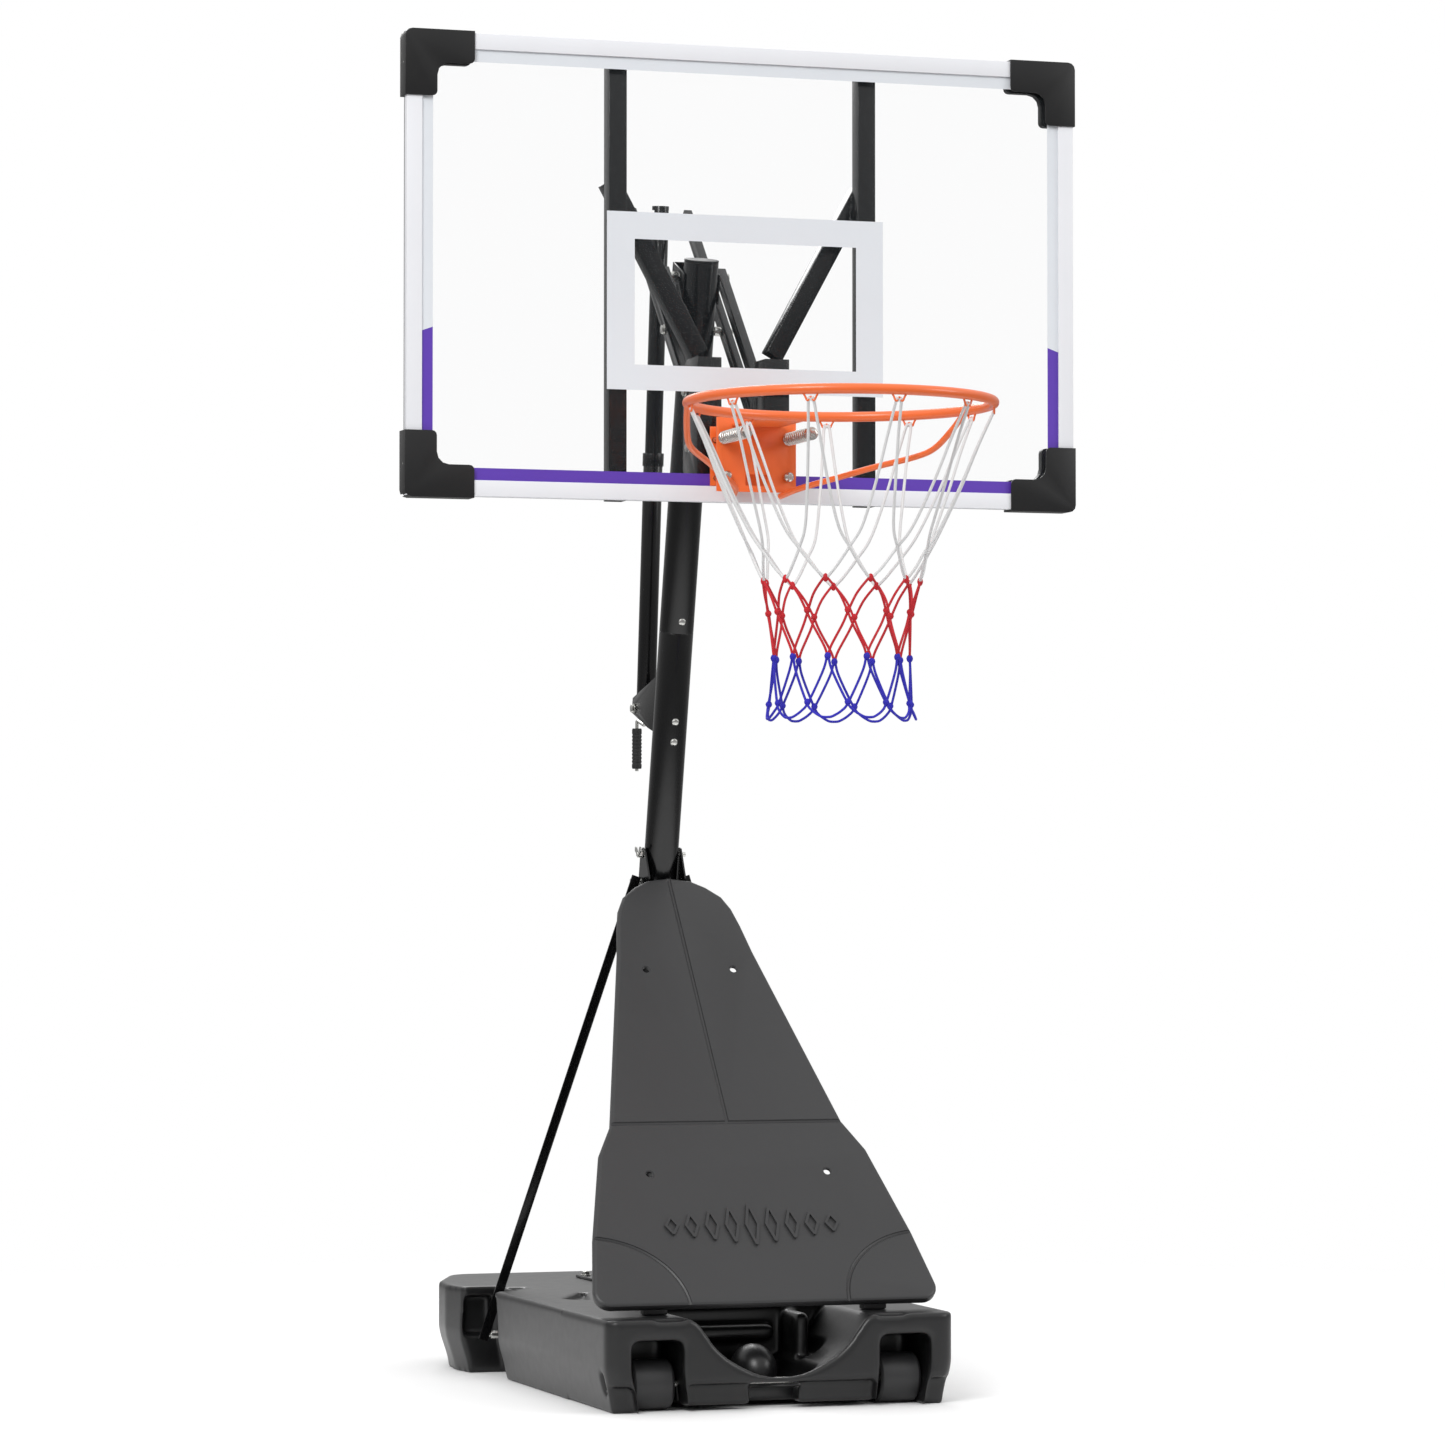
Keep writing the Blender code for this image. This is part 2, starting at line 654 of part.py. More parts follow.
# ---------------------------------------------------------------- lift
def arms():
    beyond = ARM.normalized() * 0.012
    low_body = body_empty("lower_arms", LOW_PIVOT)
    high_body = body_empty("upper_arms", HIGH_PIVOT)
    for side, sign in SIDES:
        aside = Vector((sign * ARM_X, 0.0, 0.0))
        low = square_tube(
            "lower_arm_" + side,
            LIFT_TOP - beyond + aside,
            LOW_JOINT + beyond + aside,
            ARM_WIDTH,
            ARM_DEPTH,
            BLACK_STEEL,
        )
        for point in (LIFT_TOP, LOW_PIVOT, LOW_JOINT):
            drill(low, point + aside, 0.020)
        high = square_tube(
            "upper_arm_" + side,
            HIGH_PIVOT - beyond + aside,
            HIGH_JOINT + beyond + aside,
            ARM_WIDTH,
            ARM_DEPTH,
            BLACK_STEEL,
        )
        for point in (HIGH_PIVOT, HIGH_JOINT):
            drill(high, point + aside, 0.020)
        hang_on(low_body, low)
        hang_on(high_body, high)
    reach = Vector((ARM_X + ARM_WIDTH / 2 + 0.006, 0.0, 0.0))
    lift_bolt = bolt("lift_top_bolt", LIFT_TOP - reach, LIFT_TOP + reach)
    hang_on(low_body, lift_bolt)
    inner = ARM_X - ARM_WIDTH / 2 - GAP
    for name, pivot, near in (
        ("lower_pivot_bolt", LOW_PIVOT, POLE_RADIUS + 0.0010),
        ("upper_pivot_bolt", HIGH_PIVOT, POLE_RADIUS + 0.0045),
    ):
        middle = reach.x
        collars = (
            (middle - inner, middle - near, 0.008),
            (middle + near, middle + inner, 0.008),
        )
        bolt(name, pivot - reach, pivot + reach, collars=collars)


def crank():
    outer_body = body_empty("screw_tube", CRANK_PIVOT)
    outer = tube("crank_outer_tube", on_crank(-0.010), on_crank(OUTER_TUBE_TOP), *OUTER_TUBE, BLACK_STEEL, steps=20)
    drill(outer, CRANK_PIVOT, 0.040)
    inner = tube("crank_inner_tube", on_crank(INNER_TUBE_FOOT), on_crank(CRANK_REACH + 0.020), *INNER_TUBE, BLACK_STEEL, steps=20)
    place = along(CRANK_PIVOT, LIFT_TOP)
    jaw = box(
        "open_jaw",
        (-0.030, -0.0060, CRANK_REACH - 0.017),
        (0.030, 0.030, CRANK_REACH + 0.013),
        None,
        place,
    )
    cut(inner, jaw)
    hang_on(outer_body, outer, inner)

    for side, sign in SIDES:
        start = CRANK_PIVOT + Vector((sign * 0.0270, 0.0, 0.0))
        end = CRANK_PIVOT + Vector((sign * 0.0145, 0.0, 0.0))
        length = (end - start).length
        profile = ((0.0, length), (BOLT, length), (BOLT, 0.005), (0.0075, 0.005), (0.0075, 0.0), (0.0, 0.0))
        turned("crank_pivot_" + side, profile, start, end, BRIGHT_STEEL, 6)

    place = pole_frame(CRANK_PIVOT.z)
    local = place.inverted() @ CRANK_PIVOT
    web = POLE_RADIUS + 0.001
    outline = (
        (web, -0.050),
        (web, 0.045),
        (local.y + 0.014, local.z + 0.016),
        (local.y + 0.014, local.z - 0.010),
        (web + 0.030, -0.050),
    )
    half = 0.0208
    bracket = plate("crank_bracket", outline, 2 * half, BLACK_STEEL, Matrix.Translation((-half, 0, 0)) @ place @ SIDEWAYS)
    inside = half - 0.0025
    cut(bracket, box("crank_bracket_gap", (-inside, web + 0.003, -0.100), (inside, 0.300, 0.100), None, place))
    drill(bracket, CRANK_PIVOT, 0.060)

    turn = body_empty("crank_turn", on_crank(-0.012))
    screw = cylinder("lift_screw", on_crank(-0.0130), on_crank(0.400), SCREW_RADIUS, BRIGHT_STEEL, 8)
    back = POLE_NORMAL
    eye = on_crank(-0.0130 - GAP)
    elbow = on_crank(-0.030)
    swing = elbow + back * 0.050
    drop = Vector((0.0, 0.010, -1.0)).normalized()
    bend = 0.010
    wire = [
        eye,
        elbow + CRANK_AXIS * bend,
        elbow + CRANK_AXIS * bend * 0.3 + back * bend * 0.3,
        elbow + back * bend,
        swing - back * bend,
        swing - back * bend * 0.3 + drop * bend * 0.3,
        swing + drop * bend,
        swing + drop * 0.088,
    ]
    handle = rod("crank_handle", wire, 0.0030, BRIGHT_STEEL, 1)
    grip_start, grip_end = swing + drop * 0.014, swing + drop * 0.084
    grip = tube("crank_grip", grip_start, grip_end, 0.0085, 0.0034, GRIP, 14)
    hang_on(turn, screw, handle)
    hang_on(body_empty("grip_axis", grip_start), grip)


# ---------------------------------------------------------------- backboard
def frame_section():
    """Cross-section of a frame bar: x inwards from the outer edge, y back from the front."""
    low = PANEL_SETBACK - GAP
    high = PANEL_SETBACK + PANEL_THICKNESS + GAP
    wide = FRAME_WIDTH
    deep = FRAME_DEPTH
    bottom = wide - GROOVE_DEPTH
    return ((0, 0), (wide, 0), (wide, low), (bottom, low), (bottom, high), (wide, high), (wide, deep), (0, deep))


def frame():
    """Four grooved bars, butted at the corners, and the panel that their grooves hold."""
    edge = CAP_WALL + GAP
    half = BOARD_WIDTH / 2 - edge
    low, high = BOARD_BOTTOM + edge, BOARD_TOP - edge
    shorter = FRAME_WIDTH + GAP
    back = Vector((0.0, 1.0, 0.0))
    bars = (  # name, one end, direction of the board's middle, length
        ("frame_bottom", (half, low), (0, 0, 1), 2 * half),
        ("frame_top", (-half, high), (0, 0, -1), 2 * half),
        ("frame_left", (-half, low + shorter), (1, 0, 0), high - low - 2 * shorter),
        ("frame_right", (half, high - shorter), (-1, 0, 0), high - low - 2 * shorter),
    )
    pieces = []
    for name, (x, z), inward, length in bars:
        inward = Vector(inward)
        turn = Matrix((inward, back, inward.cross(back))).transposed().to_4x4()
        place = Matrix.Translation((x, BOARD_Y, z)) @ turn
        piece = plate(name, frame_section(), length, ALUMINIUM, place)
        room = (0.002, 0.002, -0.02), (FRAME_WIDTH - GROOVE_DEPTH - 0.002, FRAME_DEPTH - 0.002, length + 0.02)
        cut(piece, box(name + "_inside", *room, None, place))
        pieces.append(piece)

    reach = GROOVE_DEPTH - 0.0005 - FRAME_WIDTH
    front = BOARD_Y + PANEL_SETBACK
    corner = Vector((half + reach, front, low - reach))
    panel = box("board_panel", (-corner.x, front, corner.z), (corner.x, front + PANEL_THICKNESS, high + reach), CLEAR)
    pieces.append(panel)
    return pieces


FACING = Matrix.Rotation(math.radians(90), 4, "X")
# A plate placed by FACING has its outline in (x, z) and its thickness towards -Y.


def corner_caps():
    pieces = []
    half = BOARD_WIDTH / 2
    middle = (BOARD_BOTTOM + BOARD_TOP) / 2
    front = BOARD_Y - CAP_WALL - GAP
    outline = (
        (0.0, 0.0, 0.012),
        (CAP_LENGTH, 0.0, 0.0),
        (CAP_LENGTH, CAP_ARM, 0.008),
        (CAP_ARM, CAP_ARM, 0.020),
        (CAP_ARM, CAP_HEIGHT, 0.008),
        (0.0, CAP_HEIGHT, 0.0),
    )
    inside = rounded(outline, 3)
    for side, sign in SIDES:
        for level, up in (("bottom", -1), ("top", 1)):
            name = "corner_cap_" + level + "_" + side
            points = [(sign * (half - u), middle + up * (BOARD_HEIGHT / 2 - v)) for u, v in inside]
            place = Matrix.Translation((0.0, front + CAP_DEPTH, 0.0)) @ FACING
            cap = plate(name, points, CAP_DEPTH, TRIM_PLASTIC, place)
            x = sorted((sign * (half - CAP_WALL), sign * (half - 0.200)))
            z = sorted((middle + up * (BOARD_HEIGHT / 2 - CAP_WALL), middle + up * (BOARD_HEIGHT / 2 - 0.200)))
            seat = BOARD_Y - GAP, BOARD_Y + FRAME_DEPTH + GAP
            cut(cap, box(name + "_seat", (x[0], seat[0], z[0]), (x[1], seat[1], z[1])))
            x = sorted((sign * (half - CAP_WALL), sign * (half - CAP_ARM + CAP_WALL)))
            z = sorted((middle + up * (BOARD_HEIGHT / 2 - CAP_WALL), middle + up * (BOARD_HEIGHT / 2 - 0.080)))
            back = seat[1] + CAP_WALL
            cut(cap, box(name + "_hollow", (x[0], back, z[0]), (x[1], back + 0.050, z[1])))
            pieces.append(cap)
    return pieces


BACK = Vector((0.0, 1.0, 0.0))
BRACKET_BOLTS = ((FLEX_X, FLEX_Z), (SPRING_X, SPRING_Z))


def board_back():
    """Two uprights, two slanting tubes and the two channels that hold the arms' front ends."""
    pieces = []
    half = SQUARE_TUBE / 2
    low, high = BOARD_BOTTOM + CAP_WALL + GAP, BOARD_TOP - CAP_WALL - GAP
    behind = UPRIGHT_Y + SQUARE_TUBE + GAP + half
    for side, sign in SIDES:
        start = Vector((sign * UPRIGHT_X, UPRIGHT_Y + half, low))
        end = Vector((start.x, start.y, high))
        pieces.append(square_tube("upright_" + side, start, end, SQUARE_TUBE, SQUARE_TUBE, BLACK_STEEL))
        start, end = (Vector((sign * x, behind, z)) for x, z in DIAGONAL)
        pieces.append(square_tube("diagonal_" + side, start, end, SQUARE_TUBE, SQUARE_TUBE, BLACK_STEEL))

        inner, outer = sorted((sign * CHANNEL_IN, sign * CHANNEL_OUT))
        rear = CHANNEL_Y + CHANNEL_DEPTH
        outline = (
            (CHANNEL_Y, CHANNEL_BOTTOM),
            (rear - 0.020, CHANNEL_BOTTOM),
            (rear, CHANNEL_BOTTOM + 0.030),
            (rear, CHANNEL_TOP - 0.026),
            (rear - 0.016, CHANNEL_TOP),
            (CHANNEL_Y, CHANNEL_TOP),
        )
        place = Matrix.Translation((inner, 0.0, 0.0)) @ SIDEWAYS
        channel = plate("bracket_channel_" + side, outline, outer - inner, BLACK_STEEL, place)
        sheet = CHANNEL_SHEET
        room = (inner + sheet, CHANNEL_Y + sheet, 1.400), (outer - sheet, rear + 0.020, 1.800)
        cut(channel, box("channel_room_" + side, *room))
        for point in (LOW_JOINT, HIGH_JOINT):
            drill(channel, point + Vector(((inner + outer) / 2, 0.0, 0.0)), 0.050)
        for x, z in BRACKET_BOLTS:
            drill(channel, (sign * x, CHANNEL_Y, z), 0.010, axis=BACK)
        pieces.append(channel)

    gap = ARM_X - ARM_WIDTH / 2 - GAP, ARM_X + ARM_WIDTH / 2 + GAP
    walls = CHANNEL_IN + CHANNEL_SHEET + GAP, CHANNEL_OUT - CHANNEL_SHEET - GAP
    reach = CHANNEL_OUT + 0.006
    for name, point in (("bracket_bolt_lower", LOW_JOINT), ("bracket_bolt_upper", HIGH_JOINT)):
        collars = []
        for near, far in ((walls[0], gap[0]), (gap[1], walls[1])):
            collars.append((reach - far, reach - near, 0.0075))
            collars.append((reach + near, reach + far, 0.0075))
        aside = Vector((reach, 0.0, 0.0))
        pieces.append(bolt(name, point - aside, point + aside, collars=collars))
    return pieces


# ---------------------------------------------------------------- rim
def spacer():
    """A bent box that stands the rim off the panel, with a flange that its bolts clamp."""
    panel_front = BOARD_Y + PANEL_SETBACK - GAP
    flange_front = panel_front - 0.003
    flange = box("rim_spacer_box", (-0.0625, flange_front, 1.4785), (0.0625, panel_front, 1.575), ORANGE)
    front = PLATE_FRONT + PLATE_SHEET + GAP
    nose = box("spacer_nose", (-0.046, front, 1.502), (0.046, panel_front - 0.001, 1.574))
    join(flange, nose)
    cut(flange, box("spacer_inside", (-0.0435, front + 0.0025, 1.400), (0.0435, flange_front, 1.700)))
    for x, z in BRACKET_BOLTS:
        for sign in (-1, 1):
            drill(flange, (sign * x, flange_front, z), 0.010, axis=BACK)
            drill(bpy.data.objects["board_panel"], (sign * x, BOARD_Y, z), 0.020, axis=BACK)
    return flange, flange_front


def rim_bolts(flange_front):
    """Two bolts that the springs sit on and two that the plate's foot tips on, all fixed to the board."""
    pieces = []
    nut_end = CHANNEL_Y + CHANNEL_SHEET + GAP + 0.005
    spring_end = PLATE_FRONT - 2 * SPRING_WIRE - 2 * GAP - SPRING_LENGTH
    for side, sign in SIDES:
        for name, x, z, seat, head in (
            ("spring_bolt_", SPRING_X, SPRING_Z, spring_end, ((0.0110, 0.002), (0.0075, 0.012))),
            ("rim_hinge_bolt_", FLEX_X, FLEX_Z, PLATE_FRONT - 0.0022, ((0.0080, 0.0115),)),
        ):
            start = Vector((sign * x, seat, z))
            length = nut_end - seat
            collar = flange_front - GAP - seat
            profile = [
                (0.0, length),
                (0.0065, length),
                (0.0065, length - 0.005),
                (BOLT, length - 0.005),
                (BOLT, collar),
                (0.0060, collar),
                (0.0060, collar - 0.004),
                (BOLT, collar - 0.004),
                (BOLT, 0.0),
            ]
            before = 0.0
            for radius, reach in head:
                profile += [(radius, before), (radius, -reach)]
                before = -reach
            profile.append((0.0, before))
            pieces.append(turned(name + side, profile, start, start + BACK, BRIGHT_STEEL, 6))
    return pieces


def rim_plate():
    half = PLATE_WIDTH / 2
    low, high = (-half, PLATE_FRONT, PLATE_BOTTOM), (half, PLATE_FRONT + PLATE_SHEET, PLATE_TOP)
    made = box("rim_plate", low, high, ORANGE)
    window = (-0.019, PLATE_FRONT - 0.010, 1.476), (0.019, PLATE_FRONT + 0.010, 1.495)
    cut(made, box("plate_window", *window))
    for x, z in BRACKET_BOLTS:
        for sign in (-1, 1):
            drill(made, (sign * x, PLATE_FRONT, z), 0.010, 0.0065, BACK)
    rear = PLATE_FRONT + PLATE_SHEET / 2
    reach = RIM_RADIUS + RIM_ROD + GAP
    widest = math.asin(FLANGE_HALF / reach)
    outline = [(FLANGE_HALF, rear), (-FLANGE_HALF, rear)]
    for step in range(9):
        angle = widest * (step / 4 - 1)
        outline.append((reach * math.sin(angle), RIM_Y + reach * math.cos(angle)))
    place = Matrix.Translation((0.0, 0.0, RIM_Z - PLATE_SHEET / 2))
    join(made, plate("rim_flange", outline, PLATE_SHEET, None, place))
    return made


def rim_ring():
    profile = []
    for step in range(8):
        angle = math.radians(90 - 45 * step)
        profile.append((RIM_RADIUS + RIM_ROD * math.cos(angle), RIM_ROD * math.sin(angle)))
    centre = Vector((0.0, RIM_Y, RIM_Z))
    ring = turned("rim_ring", profile, centre, centre + Vector((0.0, 0.0, 1.0)), ORANGE, 48, ring=True)
    for k in range(HOOKS):
        angle = HOOK_TURN + math.tau * k / HOOKS
        out = Vector((math.cos(angle), math.sin(angle), 0.0))
        aside = Vector((-out.y, out.x, 0.0))
        stem = centre + out * RIM_RADIUS
        shape = ((-0.0115, -0.0050), (-0.0050, -0.0170), (0.0, -0.0115), (0.0050, -0.0170), (0.0115, -0.0050))
        wire = [stem + aside * across + Vector((0.0, 0.0, rise)) for across, rise in shape]
        join(ring, rod("hook", wire, 0.0020, None, 0))
    for side, sign in SIDES:
        wire = [
            (sign * 0.2290, RIM_Y + 0.059, RIM_Z - 0.001),
            (sign * 0.2255, RIM_Y + 0.074, RIM_Z - 0.012),
            (sign * 0.2050, RIM_Y + 0.132, RIM_Z - 0.054),
            (sign * 0.1415, RIM_Y + 0.227, RIM_Z - 0.076),
            (sign * 0.0550, RIM_Y + 0.353, RIM_Z - 0.105),
            (sign * 0.0400, PLATE_FRONT - 0.002, PLATE_BOTTOM - 0.0062),
        ]
        join(ring, rod("brace_" + side, wire, 0.005, None, 1))
    return ring


def net():
    """The envelope of the netting that hangs from the hooks."""
    outline = (
        (0.2215, 1.556),
        (0.1780, 1.440),
        (0.1400, 1.343),
        (0.1220, 1.296),
        (0.1120, 1.249),
        (0.1060, 1.180),
        (0.1115, 1.109),
        (0.1160, 1.085),
    )
    cord = 0.0010
    foot = outline[-1][1]
    profile = [(radius + cord, z - foot) for radius, z in outline]
    profile += [(radius - cord, z - foot) for radius, z in reversed(outline)]
    start = Vector((0.0, RIM_Y, foot))
    return turned("net", profile, start, start + Vector((0.0, 0.0, 1.0)), NET_CORD, 24, ring=True)


def springs():
    pieces = []
    rear = PLATE_FRONT - SPRING_WIRE - GAP
    around = 12
    for side, sign in SIDES:
        wire = []
        for step in range(SPRING_TURNS * around + 1):
            angle = math.tau * step / around
            y = rear - SPRING_LENGTH * step / (SPRING_TURNS * around)
            centre = Vector((sign * SPRING_X, y, SPRING_Z))
            wire.append(centre + Vector((math.cos(angle), 0.0, math.sin(angle))) * SPRING_RADIUS)
        pieces.append(rod("rim_spring_" + side, wire, SPRING_WIRE, BRIGHT_STEEL, 1))
    return pieces


# ---------------------------------------------------------------- the whole hoop
base()
front_cover()
pole()
top_bracket()
struts(cover_clevis())
arms()
crank()
BOARD_PIECES = frame() + corner_caps() + board_back()
SPACER, FLANGE_FRONT = spacer()
BOARD_PIECES += [SPACER] + rim_bolts(FLANGE_FRONT)
hang_on(body_empty("board", LOW_JOINT), *BOARD_PIECES)
RIM_BODY = body_empty("rim_body", Vector((0.0, PLATE_FRONT + PLATE_SHEET / 2, FLEX_Z)))
hang_on(RIM_BODY, rim_ring(), rim_plate(), net(), *springs())
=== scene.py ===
"""Looks of a portable basketball hoop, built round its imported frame. Metres, +Z up, the rim points to -Y."""

import json
import math

import bmesh
import bpy
from mathutils import Matrix, Vector


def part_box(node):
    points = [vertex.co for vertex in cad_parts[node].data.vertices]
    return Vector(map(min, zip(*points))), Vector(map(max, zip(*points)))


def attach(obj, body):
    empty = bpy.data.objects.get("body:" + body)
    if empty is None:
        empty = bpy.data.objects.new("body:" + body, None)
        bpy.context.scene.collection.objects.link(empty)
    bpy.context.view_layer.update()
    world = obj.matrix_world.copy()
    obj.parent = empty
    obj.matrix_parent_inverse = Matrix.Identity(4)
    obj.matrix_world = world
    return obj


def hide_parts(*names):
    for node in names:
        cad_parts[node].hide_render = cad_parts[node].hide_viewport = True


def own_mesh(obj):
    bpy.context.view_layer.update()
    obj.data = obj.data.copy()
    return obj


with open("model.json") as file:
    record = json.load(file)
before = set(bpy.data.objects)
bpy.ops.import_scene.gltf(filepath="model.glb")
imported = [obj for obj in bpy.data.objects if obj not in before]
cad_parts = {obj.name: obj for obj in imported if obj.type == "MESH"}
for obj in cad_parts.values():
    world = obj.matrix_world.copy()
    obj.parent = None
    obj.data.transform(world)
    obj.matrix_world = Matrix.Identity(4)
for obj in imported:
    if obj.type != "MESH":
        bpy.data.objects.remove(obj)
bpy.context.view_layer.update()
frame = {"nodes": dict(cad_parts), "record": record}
BODY_OF = {node: body for body, nodes in frame["record"]["behaviour"]["bodies"].items() for node in nodes}
SIDES = (("left", -1), ("right", 1))
X, Y, Z = Vector((1, 0, 0)), Vector((0, 1, 0)), Vector((0, 0, 1))

# Design dimensions repeated from the CAD
BOARD_Y = -0.075
PANEL_FRONT = BOARD_Y + 0.0043
RIM_CENTRE = Vector((0.0, -0.532, 1.574))
RIM_RADIUS = 0.2366
RIM_ROD = 0.008
HOOKS = 11
HOOK_TURN = math.radians(10.5)
PLATE_FRONT = -0.124
POLE_RADIUS = 0.029
POLE_LEAN = math.atan(0.225)
POLE_LOW = Vector((0.0, 0.191, 1.760))
POLE_AXIS = Vector((0.0, -math.sin(POLE_LEAN), math.cos(POLE_LEAN)))
POLE_NORMAL = Vector((0.0, math.cos(POLE_LEAN), math.sin(POLE_LEAN)))
CRANK_PIVOT = Vector((0.0, 0.477, 1.135))
CRANK_AXIS = Vector((0.0, -0.09712, 0.99527)).normalized()
COVER_FOOT = Vector((0.0, -0.193, 0.165))
COVER_SLOPE = math.radians(51.34)
COVER_THICKNESS = 0.016
COVER_HOLES = ((0.0767, 0.672), (0.152, 0.254))
COVER_OUTLINE = (
    (0.294, 0.000, 0.026),
    (0.270, 0.1315, 0.0),
    (0.229, 0.297, 0.030),
    (0.199, 0.355, 0.0),
    (0.119, 0.709, 0.0),
    (0.1087, 0.766, 0.0),
    (0.100, 0.802, 0.0),
    (0.0875, 0.828, 0.0),
    (0.0635, 0.849, 0.0),
    (0.038, 0.8633, 0.0),
)
COVER_CROWN = 0.869
BASE_FRONT = -0.258
BASE_REAR = 0.7766
BASE_HEIGHT = 0.147
BASE_OUTLINE = (
    (0.291, BASE_FRONT, 0.024),
    (0.295, 0.372, 0.0),
    (0.323, 0.497, 0.0),
    (0.334, 0.560, 0.030),
    (0.327, 0.630, 0.050),
    (0.267, BASE_REAR, 0.050),
)
WHEEL = Vector((0.207, -0.197, 0.041))
WHEEL_HALF = 0.034
WHEEL_FROM, WHEEL_TO = 0.165, 0.250  # the wells' sides
FILL_CAP = (0.170, 0.680)
CLEVIS_Z = 0.838
CHEEK_BOLT_Z = 0.883
STRUT_TOP_X = 0.0370
STRUT_FOOT = Vector((0.2870, 0.4520, 0.068))
STRUT_LEG = 0.0165
NOTCH_WALL = 0.258
POLE_WALL = 0.0015


# ---------------------------------------------------------------- materials
def linear(r, g, b):
    """A colour given as 0-255 display values."""
    return tuple(c / 3294.6 if c <= 10 else ((c / 255 + 0.055) / 1.055) ** 2.4 for c in (r, g, b))


def finish(
    name, colour, rough, grain, bump, vary=0.12, metal=0.0, coat=0.0, stretch=(1, 1, 1), alpha=1.0,
    cells=False,
):
    """A surface with slow colour and gloss variation over a raised grain, in features per metre."""
    made = bpy.data.materials.new(name)
    made.use_nodes = True
    nodes, link = made.node_tree.nodes, made.node_tree.links.new
    shader = nodes["Principled BSDF"]
    place = nodes.new("ShaderNodeTexCoord")
    scaled = nodes.new("ShaderNodeMapping")
    scaled.inputs["Scale"].default_value = stretch
    link(place.outputs["Object"], scaled.inputs["Vector"])

    slow = nodes.new("ShaderNodeTexNoise")
    slow.inputs["Scale"].default_value = 9.0
    slow.inputs["Detail"].default_value = 4.0
    link(place.outputs["Object"], slow.inputs["Vector"])
    tint = nodes.new("ShaderNodeValToRGB")
    tint.color_ramp.elements[0].position = 0.30
    tint.color_ramp.elements[1].position = 0.70
    tint.color_ramp.elements[0].color = (*(c * (1 - vary) for c in colour), 1.0)
    tint.color_ramp.elements[1].color = (*(min(1.0, c * (1 + vary)) for c in colour), 1.0)
    link(slow.outputs["Fac"], tint.inputs["Fac"])
    link(tint.outputs["Color"], shader.inputs["Base Color"])

    smear = nodes.new("ShaderNodeTexNoise")
    smear.inputs["Scale"].default_value = 55.0
    smear.inputs["Detail"].default_value = 6.0
    link(scaled.outputs["Vector"], smear.inputs["Vector"])
    gloss = nodes.new("ShaderNodeMapRange")
    gloss.inputs["From Min"].default_value = 0.3
    gloss.inputs["From Max"].default_value = 0.7
    gloss.inputs["To Min"].default_value = rough * 0.95
    gloss.inputs["To Max"].default_value = min(1.0, rough * 1.05)
    link(smear.outputs["Fac"], gloss.inputs["Value"])
    link(gloss.outputs["Result"], shader.inputs["Roughness"])

    fine = nodes.new("ShaderNodeTexVoronoi" if cells else "ShaderNodeTexNoise")
    fine.inputs["Scale"].default_value = grain
    if not cells:
        fine.inputs["Detail"].default_value = 3.0
    link(scaled.outputs["Vector"], fine.inputs["Vector"])
    raised = nodes.new("ShaderNodeBump")
    raised.inputs["Strength"].default_value = bump
    raised.inputs["Distance"].default_value = 0.0004
    link(fine.outputs["Distance" if cells else "Fac"], raised.inputs["Height"])
    link(raised.outputs["Normal"], shader.inputs["Normal"])

    shader.inputs["Metallic"].default_value = metal
    shader.inputs["Coat Weight"].default_value = coat
    shader.inputs["Coat Roughness"].default_value = 0.12
    shader.inputs["Alpha"].default_value = alpha
    made.diffuse_color = (*colour, alpha)
    return made


BASE = finish("base_plastic_grained", linear(17, 17, 18), 0.34, 900, 0.05, vary=0.03, cells=True)
COVER = finish("cover_plastic_satin", linear(46, 46, 47), 0.42, 1100, 0.05, vary=0.02, cells=True)
TRIM = finish("trim_plastic_satin", linear(20, 20, 21), 0.40, 1300, 0.05, vary=0.03, cells=True)
STEEL = finish("black_powder_coat", linear(8, 8, 9), 0.22, 700, 0.02, vary=0.03, coat=0.15)
ZINC = finish("zinc_plated_steel", linear(214, 214, 210), 0.27, 420, 0.12, vary=0.06, metal=1.0)
WHITE = finish(
    "white_coated_aluminium", linear(236, 237, 241), 0.34, 260, 0.06, vary=0.012, stretch=(0.15, 1, 0.15),
)
EDGE = finish("dark_frame_edge", linear(44, 44, 46), 0.50, 900, 0.20)
CLEAR = finish("clear_polycarbonate", linear(120, 128, 134), 0.06, 4, 0.02, vary=0.01, alpha=0.022)
PRINT = finish("print_light_grey", linear(226, 230, 235), 0.33, 1500, 0.05, vary=0.008)
PURPLE = finish("print_purple", linear(96, 62, 176), 0.33, 1500, 0.05, vary=0.02)
ORANGE = finish("orange_powder_coat", linear(244, 112, 52), 0.33, 650, 0.14, vary=0.05, coat=0.2)
CORD_WHITE = finish("net_cord_white", linear(222, 222, 222), 0.80, 1300, 0.6, vary=0.03, cells=True)
CORD_RED = finish("net_cord_red", linear(196, 26, 38), 0.75, 1300, 0.6, vary=0.10, cells=True)
CORD_BLUE = finish("net_cord_blue", linear(38, 32, 176), 0.75, 1300, 0.6, vary=0.10, cells=True)
RUBBER = finish("grip_rubber_moulded", linear(30, 30, 31), 0.62, 1000, 0.30, cells=True)
TYRE = finish("wheel_plastic", linear(34, 34, 35), 0.45, 900, 0.08, cells=True)


# ---------------------------------------------------------------- mesh helpers
def linked(name, mesh):
    obj = bpy.data.objects.new(name, mesh)
    bpy.context.scene.collection.objects.link(obj)
    return obj


